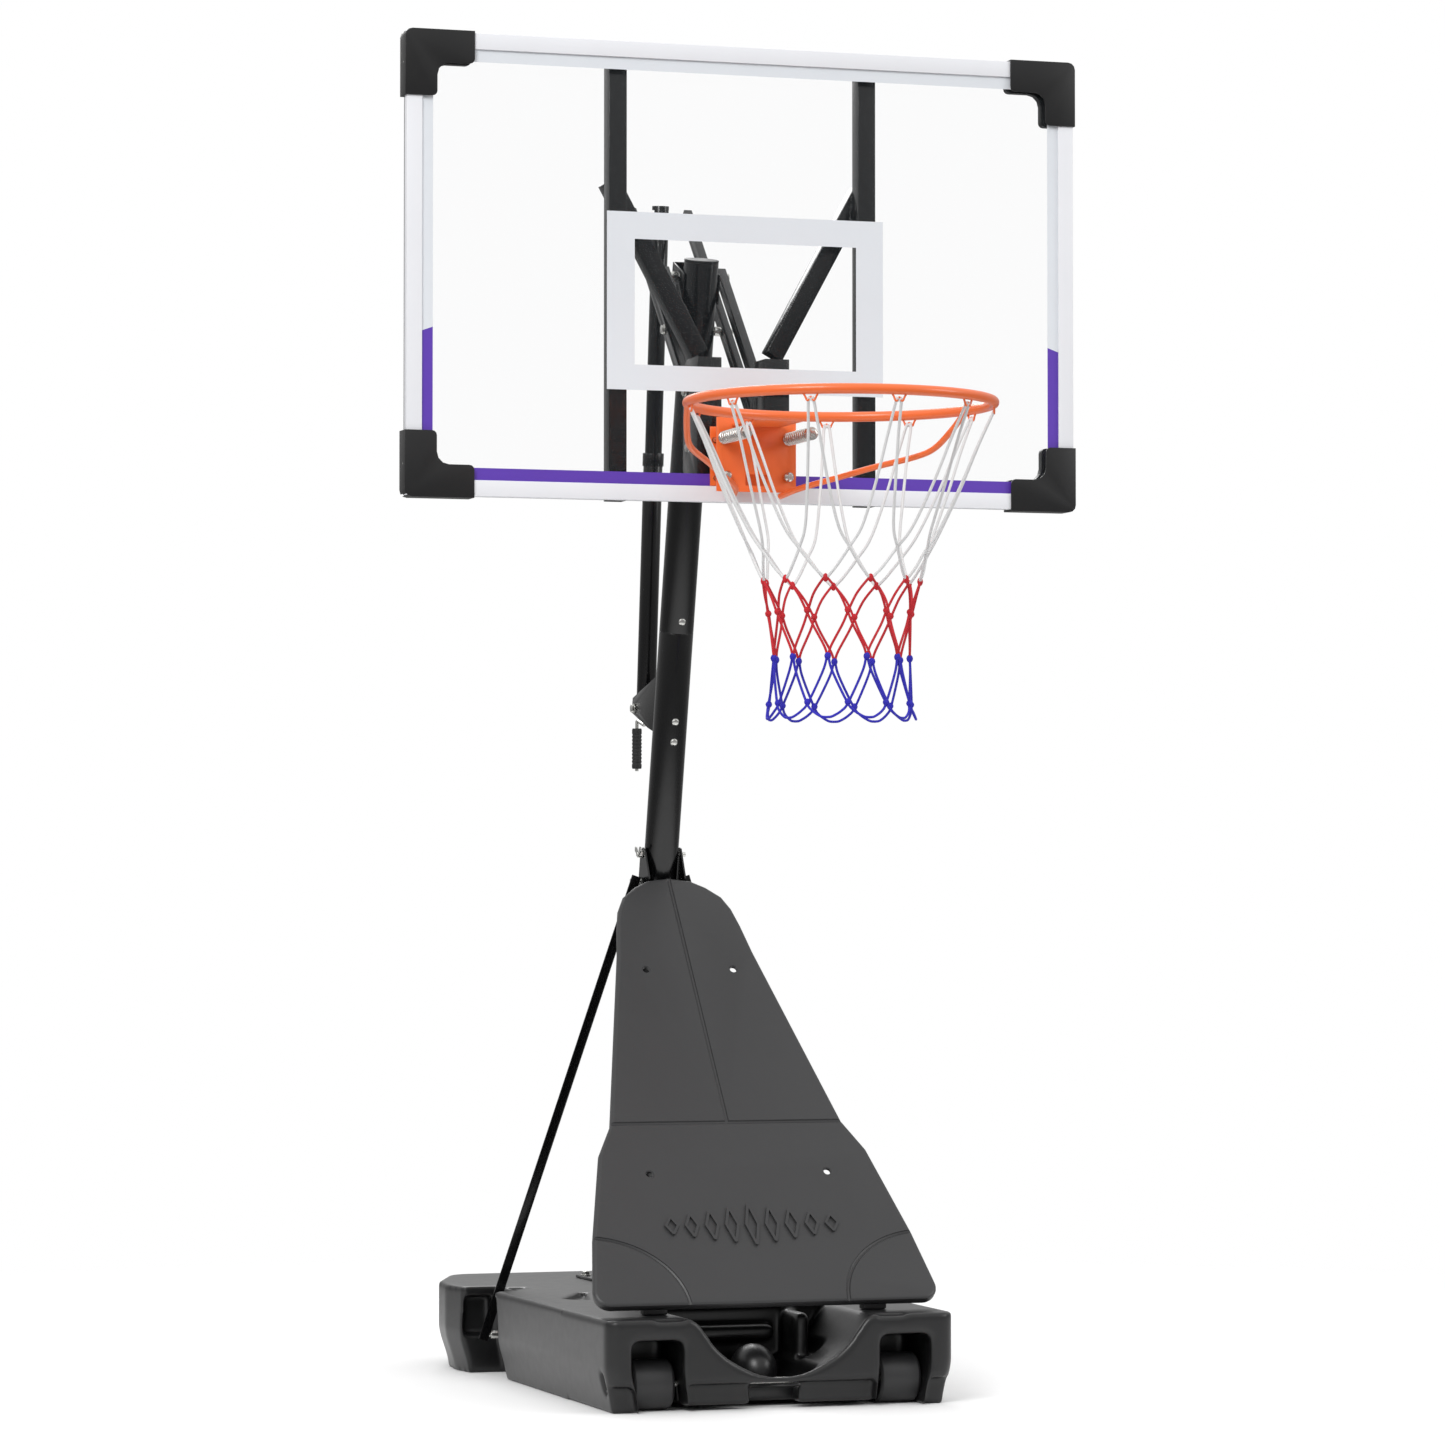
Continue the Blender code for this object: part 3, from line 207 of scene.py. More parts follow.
def baked(obj):
    """The object's mesh with its modifiers applied."""
    bpy.context.view_layer.update()
    graph = bpy.context.evaluated_depsgraph_get()
    mesh = bpy.data.meshes.new_from_object(obj.evaluated_get(graph))
    old = obj.data
    obj.modifiers.clear()
    if isinstance(old, bpy.types.Mesh):
        obj.data = mesh
        return mesh
    return mesh


def shown(name, source, look, body, slot, *nodes, sharp=32):
    """Makes the object or mesh a visible piece that rides on a body and stands for CAD nodes, if any."""
    obj = linked(name, source) if isinstance(source, bpy.types.Mesh) else source
    obj.name = name
    if obj.modifiers:
        baked(obj)
    mesh = obj.data
    if not mesh.materials:
        mesh.materials.append(look)
    mesh.shade_smooth()
    mesh.set_sharp_from_angle(angle=math.radians(sharp))
    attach(obj, body)
    if nodes:
        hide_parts(*nodes)
    return obj


def along(start, end):
    """A frame at start whose Z points to end and whose X stays near world X."""
    z = (Vector(end) - Vector(start)).normalized()
    side = Z if abs(z.x) > 0.9 else X
    x = (side - z * side.dot(z)).normalized()
    return Matrix.Translation(Vector(start)) @ Matrix((x, z.cross(x), z)).transposed().to_4x4()


def rounded(corners, segments=6, closed=True):
    """A line of (x, y, radius) corners with each corner turned as an arc."""
    points = []
    count = len(corners)
    for i, (x, y, radius) in enumerate(corners):
        if radius == 0.0 or (not closed and i in (0, count - 1)):
            points.append((x, y))
            continue
        corner = Vector((x, y))
        before = (Vector(corners[i - 1][:2]) - corner).normalized()
        after = (Vector(corners[(i + 1) % count][:2]) - corner).normalized()
        half = before.angle(after) / 2
        centre = corner + (before + after).normalized() * (radius / math.sin(half))
        first = corner + before * (radius / math.tan(half)) - centre
        last = corner + after * (radius / math.tan(half)) - centre
        for step in range(segments + 1):
            points.append(tuple(centre + first.slerp(last, step / segments).normalized() * radius))
    return points


def mirrored(half):
    return list(half) + [(-x, y, radius) for x, y, radius in reversed(half)]


def lathe(profile, start, end, steps=64, ring=False, soft=0.0006, segments=3):
    """A mesh of a (radius, distance) profile turned round the line to end, with its corners eased."""
    line = [(r, t, soft if r > 0 else 0.0) for r, t in profile]
    line = rounded(line, segments, closed=ring)
    place = along(start, end)
    bm = bmesh.new()
    verts = [bm.verts.new(place @ Vector((r, 0.0, t))) for r, t in line]
    pairs = list(zip(verts, verts[1:])) + ([(verts[-1], verts[0])] if ring else [])
    edges = [bm.edges.new(pair) for pair in pairs]
    axis = (Vector(end) - Vector(start)).normalized()
    bmesh.ops.spin(
        bm, geom=verts + edges, cent=Vector(start), axis=axis, angle=math.tau, steps=steps, use_merge=True
    )
    bmesh.ops.remove_doubles(bm, verts=bm.verts, dist=1e-6)
    bmesh.ops.recalc_face_normals(bm, faces=bm.faces)
    return as_mesh(bm, "lathe")


def rod(radius, low, high, start, end, steps=64, soft=0.0006):
    """A round rod between two distances along the line from start to end."""
    return lathe(((0, low), (radius, low), (radius, high), (0, high)), start, end, steps, soft=soft)


def as_mesh(bm, name):
    mesh = bpy.data.meshes.new(name)
    bm.to_mesh(mesh)
    bm.free()
    return mesh


def smooth_line(points, per=8, closed=False):
    """More points on a smooth curve through the given ones."""
    points = [Vector(p) for p in points]
    count = len(points)
    spans = range(count) if closed else range(count - 1)
    out = []
    for i in spans:
        if closed:
            a, b, c, d = (points[(i + k) % count] for k in (-1, 0, 1, 2))
        else:
            b, c = points[i], points[i + 1]
            a = points[i - 1] if i else b * 2 - c
            d = points[i + 2] if i + 2 < count else c * 2 - b
        for step in range(per):
            t = step / per
            out.append(
                0.5 * (
                    2 * b + (c - a) * t + (
                        2 * a - 5 * b + 4 * c - d
                    ) * t * t + (3 * b - a - 3 * c + d) * t**3
                )
            )
    if not closed:
        out.append(points[-1])
    return out


def tubes(lines, radius, sides=4, closed=False, caps=True):
    """A mesh of round tubes along several lines of points."""
    curve = bpy.data.curves.new("lines", "CURVE")
    curve.dimensions = "3D"
    curve.bevel_depth = radius
    curve.bevel_resolution = sides
    curve.use_fill_caps = caps
    for line in lines:
        spline = curve.splines.new("POLY")
        spline.points.add(len(line) - 1)
        for point, at in zip(spline.points, line):
            point.co = (*at, 1.0)
        spline.use_cyclic_u = closed
    source = linked("lines", curve)
    mesh = baked(source)
    bpy.data.objects.remove(source, do_unlink=True)
    bm = bmesh.new()
    bm.from_mesh(mesh)
    bmesh.ops.remove_doubles(bm, verts=bm.verts, dist=1e-6)
    bmesh.ops.recalc_face_normals(bm, faces=bm.faces)
    return as_mesh(bm, "tubes")


def slab(outline, thickness, place=None):
    """A mesh of a flat closed outline in a frame's XY plane, from z = 0 to its thickness."""
    bm = bmesh.new()
    face = bm.faces.new([bm.verts.new((x, y, 0.0)) for x, y in outline])
    made = bmesh.ops.extrude_face_region(bm, geom=[face])
    bmesh.ops.translate(
        bm, vec=(0, 0, thickness), verts=[g for g in made["geom"] if isinstance(g, bmesh.types.BMVert)],
    )
    bmesh.ops.recalc_face_normals(bm, faces=bm.faces)
    if place is not None:
        bmesh.ops.transform(bm, matrix=place, verts=bm.verts)
    return as_mesh(bm, "slab")


def block(low, high, radius=0.0, segments=3, place=None):
    """A mesh of a box with eased edges."""
    low, high = Vector(low), Vector(high)
    bm = bmesh.new()
    size = high - low
    bmesh.ops.create_cube(
        bm, size=1.0, matrix=Matrix.Translation((low + high) / 2) @ Matrix.Diagonal((*size, 1.0)),
    )
    if radius:
        bmesh.ops.bevel(bm, geom=bm.edges[:], offset=radius, segments=segments, profile=0.5, affect="EDGES")
    if place is not None:
        bmesh.ops.transform(bm, matrix=place, verts=bm.verts)
    return as_mesh(bm, "block")


def merged(*meshes):
    """One mesh of several, as they are."""
    bm = bmesh.new()
    for mesh in meshes:
        bm.from_mesh(mesh)
    return as_mesh(bm, "merged")


def blob(centre, size, levels=3):
    bm = bmesh.new()
    place = Matrix.Translation(Vector(centre)) @ Matrix.Diagonal((*size, 1.0))
    bmesh.ops.create_icosphere(bm, subdivisions=levels, radius=1.0, matrix=place)
    return as_mesh(bm, "blob")


def combine(obj, mesh, operation):
    other = linked("tool", mesh)
    step = obj.modifiers.new("step", "BOOLEAN")
    step.operation = operation
    step.object = other
    baked(obj)
    bpy.data.objects.remove(other, do_unlink=True)


def cut(obj, *meshes):
    for mesh in meshes:
        combine(obj, mesh, "DIFFERENCE")


def join(obj, *meshes):
    for mesh in meshes:
        combine(obj, mesh, "UNION")


def refined(node, look, slot, width=0.0008, segments=2, band=None, extra=()):
    """The CAD node's own shape with every hard edge eased, in place of the node.

    A band of (Y, look) gives the faces behind that Y another look.
    """
    bm = bmesh.new()
    bm.from_mesh(frame["nodes"][node].data)
    bmesh.ops.remove_doubles(bm, verts=bm.verts, dist=1e-6)
    bmesh.ops.dissolve_limit(bm, angle_limit=math.radians(1), verts=bm.verts, edges=bm.edges)
    hard = [e for e in bm.edges if len(e.link_faces) == 2 and e.calc_face_angle(0) > math.radians(38)]
    bmesh.ops.bevel(
        bm, geom=hard, offset=width, segments=segments, profile=0.5, affect="EDGES", clamp_overlap=True,
    )
    if band is not None:
        geom = bm.verts[:] + bm.edges[:] + bm.faces[:]
        bmesh.ops.bisect_plane(bm, geom=geom, dist=1e-6, plane_co=(0, band[0], 0), plane_no=(0, 1, 0))
        for face in bm.faces:
            if face.calc_center_median().y > band[0]:
                face.material_index = 1
    mesh = as_mesh(bm, node)
    if extra:
        mesh = merged(mesh, *extra)
    mesh.materials.append(look)
    if band is not None:
        mesh.materials.append(band[1])
    return shown(node + "_finished", mesh, look, BODY_OF[node], slot, node)


def hexagon(radius, low, high, place, chamfer=0.0006):
    """A hex head or nut with turned-down corners between two heights of a frame."""
    points = [
        (radius * math.cos(math.radians(60 * k)), radius * math.sin(math.radians(60 * k))) for k in range(6)
    ]
    mesh = slab(points, high - low, place @ Matrix.Translation((0, 0, low)))
    bm = bmesh.new()
    bm.from_mesh(mesh)
    bmesh.ops.bevel(bm, geom=bm.edges[:], offset=chamfer, segments=2, profile=0.5, affect="EDGES")
    return as_mesh(bm, "hexagon")


def bright(node, *parts):
    """A fastener made of several parts, in place of its CAD node."""
    return shown(node + "_finished", merged(*parts), ZINC, BODY_OF[node], "bright_steel", node)


def inward(node, sign):
    """The start, end, length and frame of a bolt that points to the middle from one side."""
    low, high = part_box(node)
    y, z = (low.y + high.y) / 2, (low.z + high.z) / 2
    outer, inner = (high.x, low.x) if sign > 0 else (low.x, high.x)
    start, end = Vector((outer, y, z)), Vector((inner, y, z))
    return start, end, abs(outer - inner), along(start, end)


def cross_bolt(node, shank, head, collars=(), nut=True):
    """A hex bolt along X through the whole of its CAD node."""
    low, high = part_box(node)
    start, end = Vector((low.x, (low.y + high.y) / 2, (low.z + high.z) / 2)), None
    end = Vector((high.x, start.y, start.z))
    place = along(start, end)
    length = end.x - start.x
    parts = [rod(shank, 0.001, length - 0.001, start, end, 24)]
    parts.append(hexagon(head, 0.0, 0.0045, place))
    parts.append(rod(head * 1.12, 0.0045, 0.0056, start, end, 32, soft=0.0003))
    if nut:
        parts.append(hexagon(head * 0.95, length - 0.0050, length - 0.0006, place))
        top = length - 0.0050
        parts.append(rod(head * 1.1, top - 0.0011, top, start, end, 32, soft=0.0003))
    for a, b, radius in collars:
        parts.append(rod(radius, a, b, start, end, 32))
    return bright(node, *parts)


# ---------------------------------------------------------------- backboard
def board():
    fine_edge = (BOARD_Y + 0.0135, EDGE)
    for node in ("frame_bottom", "frame_top", "frame_left", "frame_right"):
        refined(node, WHITE, "frame_aluminium", 0.0012, 3, band=fine_edge)
    for side, sign in SIDES:
        for level in ("bottom", "top"):
            node = "corner_cap_" + level + "_" + side
            low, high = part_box(node)
            outer = high.x if sign > 0 else low.x
            middle = Vector((outer - sign * 0.0004, (low.y + high.y) / 2 - 0.004, (low.z + high.z) / 2))
            out = X * sign
            screw = lathe(
                ((0, 0.0016), (0.0030, 0.0012), (0.0042, 0.0), (0, 0.0)), middle - out * 0.0010,
                middle + out, 24, soft=0.0003,
            )
            refined(node, TRIM, "trim_plastic", 0.0016, 3)
            shown("cap_screw_" + level + "_" + side, screw, ZINC, "board", "bright_steel")

    back, front = PANEL_FRONT - 0.00005, PANEL_FRONT - 0.0003

    def printed(name, outline, look):
        place = Matrix.Translation((0, back, 0)) @ Matrix.Rotation(math.radians(90), 4, "X")
        shown(name, slab(outline, back - front, place), look, "board", "clear_panel")

    outer, inner = 0.547, 0.5275
    low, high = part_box("frame_bottom")[1].z + 0.0003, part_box("frame_top")[0].z - 0.0003
    strip = 0.0196
    printed(
        "print_border_top", ((-outer, high - strip), (outer, high - strip), (outer, high), (-outer, high)),
        PRINT,
    )
    printed(
        "print_border_bottom", ((-outer, low), (outer, low), (outer, low + strip), (-outer, low + strip)),
        PURPLE,
    )
    foot, outer_tip, inner_tip = low + strip, 1.715, 1.722
    for side, sign in SIDES:
        flip = (lambda points, s=sign: [(s * x, z) for x, z in points])
        lower = ((inner, foot), (outer, foot), (outer, outer_tip), (inner, inner_tip))
        upper = ((inner, inner_tip), (outer, outer_tip), (outer, high - strip), (inner, high - strip))
        printed("print_border_lower_" + side, flip(lower), PURPLE)
        printed("print_border_upper_" + side, flip(upper), PRINT)

    wide, narrow = 0.237, 0.190
    bottom, top, in_bottom, in_top = 1.631, 1.920, 1.672, 1.876
    square = linked("square", slab(((-wide, bottom), (wide, bottom), (wide, top), (-wide, top)), back - front,
                    Matrix.Translation((0, back, 0)) @ Matrix.Rotation(math.radians(90), 4, "X")))
    cut(square, block((-narrow, back - 0.01, in_bottom), (narrow, back + 0.01, in_top)))
    shown("print_square", square, PRINT, "board", "clear_panel")

    panel = frame["nodes"]["board_panel"]
    for place in panel.material_slots:
        place.material = CLEAR

    for side, sign in SIDES:
        for node in ("upright_" + side, "diagonal_" + side):
            refined(node, STEEL, "black_steel", 0.0016, 3)
        low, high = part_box("upright_" + side)
        plug = block(
            (low.x + 0.0012, low.y + 0.0012, high.z - 0.010),
            (high.x - 0.0012, high.y - 0.0012, high.z - 0.0004), 0.001,
        )
        shown("upright_plug_" + side, plug, TRIM, "board", "trim_plastic")
        for level, z in enumerate((1.500, 1.700, 1.965, 2.165)):
            at = Vector(((low.x + high.x) / 2, high.y, z))
            rivet = lathe(
                ((0, 0.0026), (0.0034, 0.0020), (0.0052, 0.0), (0, 0.0)), at - Y * 0.0004, at + Y, 24,
            )
            shown("upright_rivet_%d_%s" % (level, side), rivet, ZINC, "board", "bright_steel")
        refined("bracket_channel_" + side, STEEL, "black_steel", 0.0007, 2)


def bracket_bolts():
    reach, inner, outer = 0.085, 0.0403, 0.0762
    near, far = 0.0427, 0.0573
    collars = []
    for a, b in ((inner, near), (far, outer)):
        collars += [(reach - b, reach - a, 0.0075), (reach + a, reach + b, 0.0075)]
    for node in ("bracket_bolt_lower", "bracket_bolt_upper"):
        cross_bolt(node, 0.004, 0.0075, collars)
    cross_bolt("lift_top_bolt", 0.004, 0.0075)
    middle = 0.063
    for node, near in (("lower_pivot_bolt", 0.030), ("upper_pivot_bolt", 0.0335)):
        cross_bolt(
            node, 0.004, 0.0075,
            ((middle - 0.0427, middle - near, 0.008), (middle + near, middle + 0.0427, 0.008)),
        )


# ---------------------------------------------------------------- rim
def around(k, radius, z):
    """A point on a level circle under the rim, k steps of one hook round."""
    angle = HOOK_TURN + math.tau * k / HOOKS
    return Vector((RIM_CENTRE.x + radius * math.cos(angle), RIM_CENTRE.y + radius * math.sin(angle), z))


def rim():
    circle = [
        RIM_CENTRE + Vector((math.cos(a), math.sin(a), 0)) * RIM_RADIUS
        for a in (math.tau * k / 144 for k in range(144))
    ]
    parts = [tubes([circle], RIM_ROD, 7, closed=True, caps=False)]
    hooks = []
    for k in range(HOOKS):
        stem = around(k, RIM_RADIUS, RIM_CENTRE.z)
        out = (stem - RIM_CENTRE).normalized()
        aside = Vector((-out.y, out.x, 0))
        shape = (
            (-0.0120, -0.0055), (-0.0085, -0.0115), (-0.0062, -0.0165), (-0.0035, -0.0168),
            (-0.0012, -0.0125), (0.0012, -0.0125), (0.0035, -0.0168), (0.0062, -0.0165), (0.0085, -0.0115),
            (0.0120, -0.0055),
        )
        hooks.append(smooth_line([stem + aside * s + Z * z for s, z in shape], 4))
    parts.append(tubes(hooks, 0.0016, 3))
    braces = []
    for side, sign in SIDES:
        x, y, z = RIM_CENTRE
        path = (
            (0.2290, 0.059, -0.001), (0.2262, 0.070, -0.009), (0.2190, 0.095, -0.028),
            (0.2050, 0.132, -0.053), (0.1850, 0.165, -0.065), (0.1415, 0.227, -0.077),
            (0.0980, 0.290, -0.091), (0.0550, 0.353, -0.105), (0.0400, 0.406, -0.1142),
        )
        braces.append(smooth_line([Vector((sign * a, y + b, z + c)) for a, b, c in path], 6))
    parts.append(tubes(braces, 0.005, 5))
    for sign in (-1, 1):
        parts.append(
            blob((sign * 0.2292, RIM_CENTRE.y + 0.056, RIM_CENTRE.z - 0.001), (0.0085, 0.0105, 0.0085), 3)
        )
    shown("rim_ring_finished", merged(*parts), ORANGE, "rim", "orange_rim", "rim_ring")
    refined("rim_plate", ORANGE, "orange_rim", 0.0007, 2)
    refined("rim_spacer_box", ORANGE, "orange_rim", 0.0007, 2)

    for side, sign in SIDES:
        node = "spring_bolt_" + side
        low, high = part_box(node)
        x, z = (low.x + high.x) / 2, (low.z + high.z) / 2
        seat = PLATE_FRONT - 0.1124
        start, end = Vector((x, low.y, z)), Vector((x, high.y, z))
        place = along(start, end)
        length = high.y - low.y
        head = seat - low.y
        parts = [
            rod(0.004, head - 0.001, length - 0.001, start, end, 24),
            rod(0.0108, head - 0.0020, head, start, end, 40, soft=0.0006),
            hexagon(0.0076, head - 0.0095, head - 0.0020, place),
            rod(0.0040, 0.0, head - 0.006, start, end, 24),
            hexagon(0.0065, length - 0.005, length, place),
        ]
        bright(node, *parts)

        node = "rim_spring_" + side
        low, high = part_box(node)
        x, z = (low.x + high.x) / 2, (low.z + high.z) / 2
        wire, turns, per = 0.00145, 12.5, 28
        coil = []
        first, last = high.y - wire, low.y + wire
        for step in range(int(turns * per) + 1):
            share = step / (turns * per)
            eased = min(1.0, max(0.0, (share * turns - 0.7) / (turns - 1.4)))
            angle = math.tau * share * turns
            level = first + (last - first) * (0.025 * share * turns / turns + 0.975 * eased)
            coil.append(Vector((x + math.cos(angle) * 0.0094, level, z + math.sin(angle) * 0.0094)))
        spring = shown(
            node + "_finished", tubes([coil], wire, 3), ZINC, "board", "bright_steel", node, sharp=60,
        )
        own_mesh(spring)

        node = "rim_hinge_bolt_" + side
        low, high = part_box(node)
        x, z = (low.x + high.x) / 2, (low.z + high.z) / 2
        start, end = Vector((x, low.y, z)), Vector((x, high.y, z))
        place = along(start, end)
        length = high.y - low.y
        parts = [
            rod(0.004, 0.004, length - 0.001, start, end, 24),
            lathe(
                ((0, 0.0), (0.0050, 0.0), (0.0078, 0.0035), (0.0078, 0.0113), (0, 0.0113)), start, end, 40,
                soft=0.0012, segments=4,
            ),
            hexagon(0.0065, length - 0.005, length, place),
        ]
        bright(node, *parts)


def net():
    """Eleven loops to a row: long white loops from the hooks, then red and blue rows knotted to them."""
    white, red, blue = [], [], []
    knots_red, knots_blue = [], []
    for k in range(HOOKS):
        for turn in (-1, 1):
            start = around(k + turn * 0.030, 0.2350, 1.5575)
            white.append(smooth_line((
                around(k + turn * 0.004, 0.2345, 1.5570),
                start,
                around(k + turn * 0.070, 0.2130, 1.510),
                around(k + turn * 0.150, 0.1840, 1.440),
                around(k + turn * 0.290, 0.1540, 1.375),
                around(k + turn * 0.500, 0.1385 + turn * 0.0012, 1.343),
                around(k + turn * 0.740, 0.1285, 1.316),
                around(k + turn * 0.910, 0.1235, 1.302),
                around(k + turn * 0.995, 0.1215, 1.297),
            ), 7))
            red.append(smooth_line((
                around(k, 0.1222, 1.2990),
                around(k + turn * 0.080, 0.1215, 1.2940),
                around(k + turn * 0.300, 0.1170, 1.2740),
                around(k + turn * 0.480, 0.1120 + turn * 0.0008, 1.2490),
                around(k + turn * 0.620, 0.1090, 1.2280),
                around(k + turn * 0.900, 0.1065, 1.1960),
                around(k + turn * 0.990, 0.1060, 1.1810),
            ), 7))
            blue.append(smooth_line((
                around(k + turn * 0.010, 0.1060, 1.1800),
                around(k + turn * 0.120, 0.1072, 1.1560),
                around(k + turn * 0.480, 0.1112 + turn * 0.0008, 1.1090),
                around(k + turn * 0.640, 0.1135, 1.0960),
                around(k + turn * 0.860, 0.1153, 1.0870),
                around(k + turn * 1.000, 0.1156, 1.0855),
            ), 7))
        for z, radius, size, put in (
            (1.2975, 0.1222, (0.0046, 0.0046, 0.0068), knots_red),
            (1.1790, 0.1060, (0.0052, 0.0052, 0.0064), knots_blue),
        ):
            put.append(blob(around(k, radius, z), size, 2))
        for z, radius, size, put in (
            (1.2490, 0.1120, (0.0052, 0.0052, 0.0056), knots_red),
            (1.1090, 0.1112, (0.0052, 0.0052, 0.0056), knots_blue),
        ):
            put.append(blob(around(k + 0.5, radius, z), size, 2))
    shown("net_white", tubes(white, 0.0023, 3), CORD_WHITE, "rim", "net_cord", "net", sharp=80)
    shown("net_red", merged(tubes(red, 0.0020, 3), *knots_red), CORD_RED, "rim", "net_cord", "net", sharp=80)
    shown(
        "net_blue", merged(tubes(blue, 0.0020, 3), *knots_blue), CORD_BLUE, "rim", "net_cord", "net",
        sharp=80,
    )


# ---------------------------------------------------------------- pole and lift
def on_pole(z, off=0.0):
    return POLE_LOW + POLE_AXIS * ((z - POLE_LOW.z) / POLE_AXIS.z) + POLE_NORMAL * off


def pole():
    inner = POLE_RADIUS - POLE_WALL
    levels = (("pole_lower", 0.160, 0.800), ("pole_middle", 0.8003, 1.260), ("pole_upper", 1.2603, 1.873))
    for node, low, high in levels:
        start, end = on_pole(low), on_pole(high)
        length = (end - start).length
        profile = ((POLE_RADIUS, 0.0), (POLE_RADIUS, length), (inner, length), (inner, 0.0))
        mesh = lathe(profile, start, end, 72, ring=True, soft=0.0007)
        shown(node + "_finished", mesh, STEEL, "stand", "black_steel", node)
    top = on_pole(1.873)
    profile = (
        (0.0, -0.010), (inner - 0.0005, -0.010), (inner - 0.0005, 0.0003), (POLE_RADIUS + 0.0004, 0.0003),
        (POLE_RADIUS, 0.0038), (0.0, 0.0040),
    )
    cap = lathe(profile, top, top + POLE_AXIS, 64, soft=0.0012, segments=4)
    shown("pole_cap_finished", cap, TRIM, "stand", "trim_plastic", "pole_cap")
    for level, z in enumerate((1.281, 1.113, 1.079)):
        at = on_pole(z, -POLE_RADIUS)
        out = -POLE_NORMAL
        head = lathe(
            ((0, 0.0042), (0.0046, 0.0036), (0.0064, 0.0010), (0.0064, 0.0), (0, 0.0)), at - out * 0.0008,
            at + out, 32, soft=0.0008,
        )
        shown("pole_screw_%d" % level, head, ZINC, "stand", "bright_steel")
    low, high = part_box("pole_foot")
    weld = []
    centre = on_pole(0.1540)
    for k in range(48):
        angle = math.tau * k / 48
        ripple = 0.0003 * math.sin(angle * 24)
        spot = centre + Vector(
            (math.cos(angle) * (0.0345 + ripple), math.sin(angle) * (0.0352 + ripple), 0.0)
        )
        weld.append(spot)
    refined(
        "pole_foot", STEEL, "black_steel", 0.0008, 2,
        extra=(tubes([weld], 0.0022, 3, closed=True, caps=False),),
    )
    for k, (sx, sy) in enumerate(((-1, -1), (1, -1), (-1, 1), (1, 1))):
        at = Vector((sx * 0.066, (low.y + high.y) / 2 + sy * 0.060, BASE_HEIGHT + 0.0049))
        place = along(at, at + Z)
        parts = merged(
            hexagon(0.0076, 0.0012, 0.0066, place), rod(0.0095, 0.0, 0.0013, at, at + Z, 32, soft=0.0003),
        )
        shown("foot_bolt_%d" % k, parts, ZINC, "stand", "bright_steel")
    for node in ("pole_top_bracket", "crank_bracket"):
        refined(node, STEEL, "black_steel", 0.0007, 2)
    clevis()
    for side, sign in SIDES:
        strut(side, sign)
    low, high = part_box("clevis_bolt")
    start, end = on_pole(CLEVIS_Z) + X * 0.052, on_pole(CLEVIS_Z) - X * 0.052
    place = along(start, end)
    length = 0.104
    wing = rounded(
        (
            (0.004, -0.004, 0.0), (0.020, 0.006, 0.003), (0.0195, 0.0135, 0.003), (0.012, 0.0125, 0.002),
            (0.004, 0.002, 0.0),
        ),
        3,
    )
    wings = []
    for sign in (-1, 1):
        turn = Matrix((Y * sign, Z, X * (1 if sign > 0 else -1))).transposed().to_4x4()
        wings.append(slab(wing, 0.0022, Matrix.Translation(end + X * 0.0030) @ turn))
    parts = [
        rod(0.004, 0.001, length, start, end, 24), hexagon(0.0070, 0.0, 0.0045, place),
        lathe(
            ((0, length - 0.011), (0.0068, length - 0.011), (0.0056, length - 0.002), (0, length - 0.002)),
            start, end, 32,
        ),
    ]
    shown("clevis_bolt_finished", merged(*parts[:2]), ZINC, "stand", "bright_steel", "clevis_bolt")
    rise = on_pole(CHEEK_BOLT_Z) - on_pole(CLEVIS_Z)
    upper = merged(*parts[:1], *parts[2:], *wings)
    upper.transform(Matrix.Translation(rise) @ Matrix.Diagonal((0.84, 1, 1, 1)))
    shown("cheek_bolt", upper, ZINC, "stand", "bright_steel")
    for side, sign in SIDES:
        node = "strut_bolt_" + side
        start, end, length, place = inward(node, sign)
        parts = [
            rod(0.004, 0.001, length, start, end, 24),
            hexagon(0.0068, 0.0, 0.0048, place),
            rod(0.007, 0.015, length - 0.0083, start, end, 32),
        ]
        bright(node, *parts)


def clevis():
    """A front wall and two cheeks that reach up beside the pole and forward above the cover."""
    frame_at = Matrix.Translation(on_pole(CLEVIS_Z)) @ Matrix(
        (X, POLE_NORMAL, POLE_AXIS)
    ).transposed().to_4x4()
    turn = Matrix.Rotation(math.radians(90), 4, "Y") @ Matrix.Rotation(math.radians(90), 4, "Z")
    cheek = ((0.013, -0.028, 0.003), (0.013, 0.048, 0.006), (0.002, 0.058, 0.004), (-0.008, 0.058, 0.003),
             (-0.045, 0.013, 0.004), (-0.0330, -0.003, 0.0), (-0.0330, -0.028, 0.0))
    parts = [block((-0.0335, -0.0325, -0.028), (0.0335, -0.0298, -0.008), 0.0006, 2, frame_at)]
    for x in (-0.0335, 0.0307):
        parts.append(slab(rounded(cheek, 5), 0.0028, frame_at @ Matrix.Translation((x, 0, 0)) @ turn))
    shown("cover_clevis_finished", merged(*parts), STEEL, "stand", "black_steel", "cover_clevis")


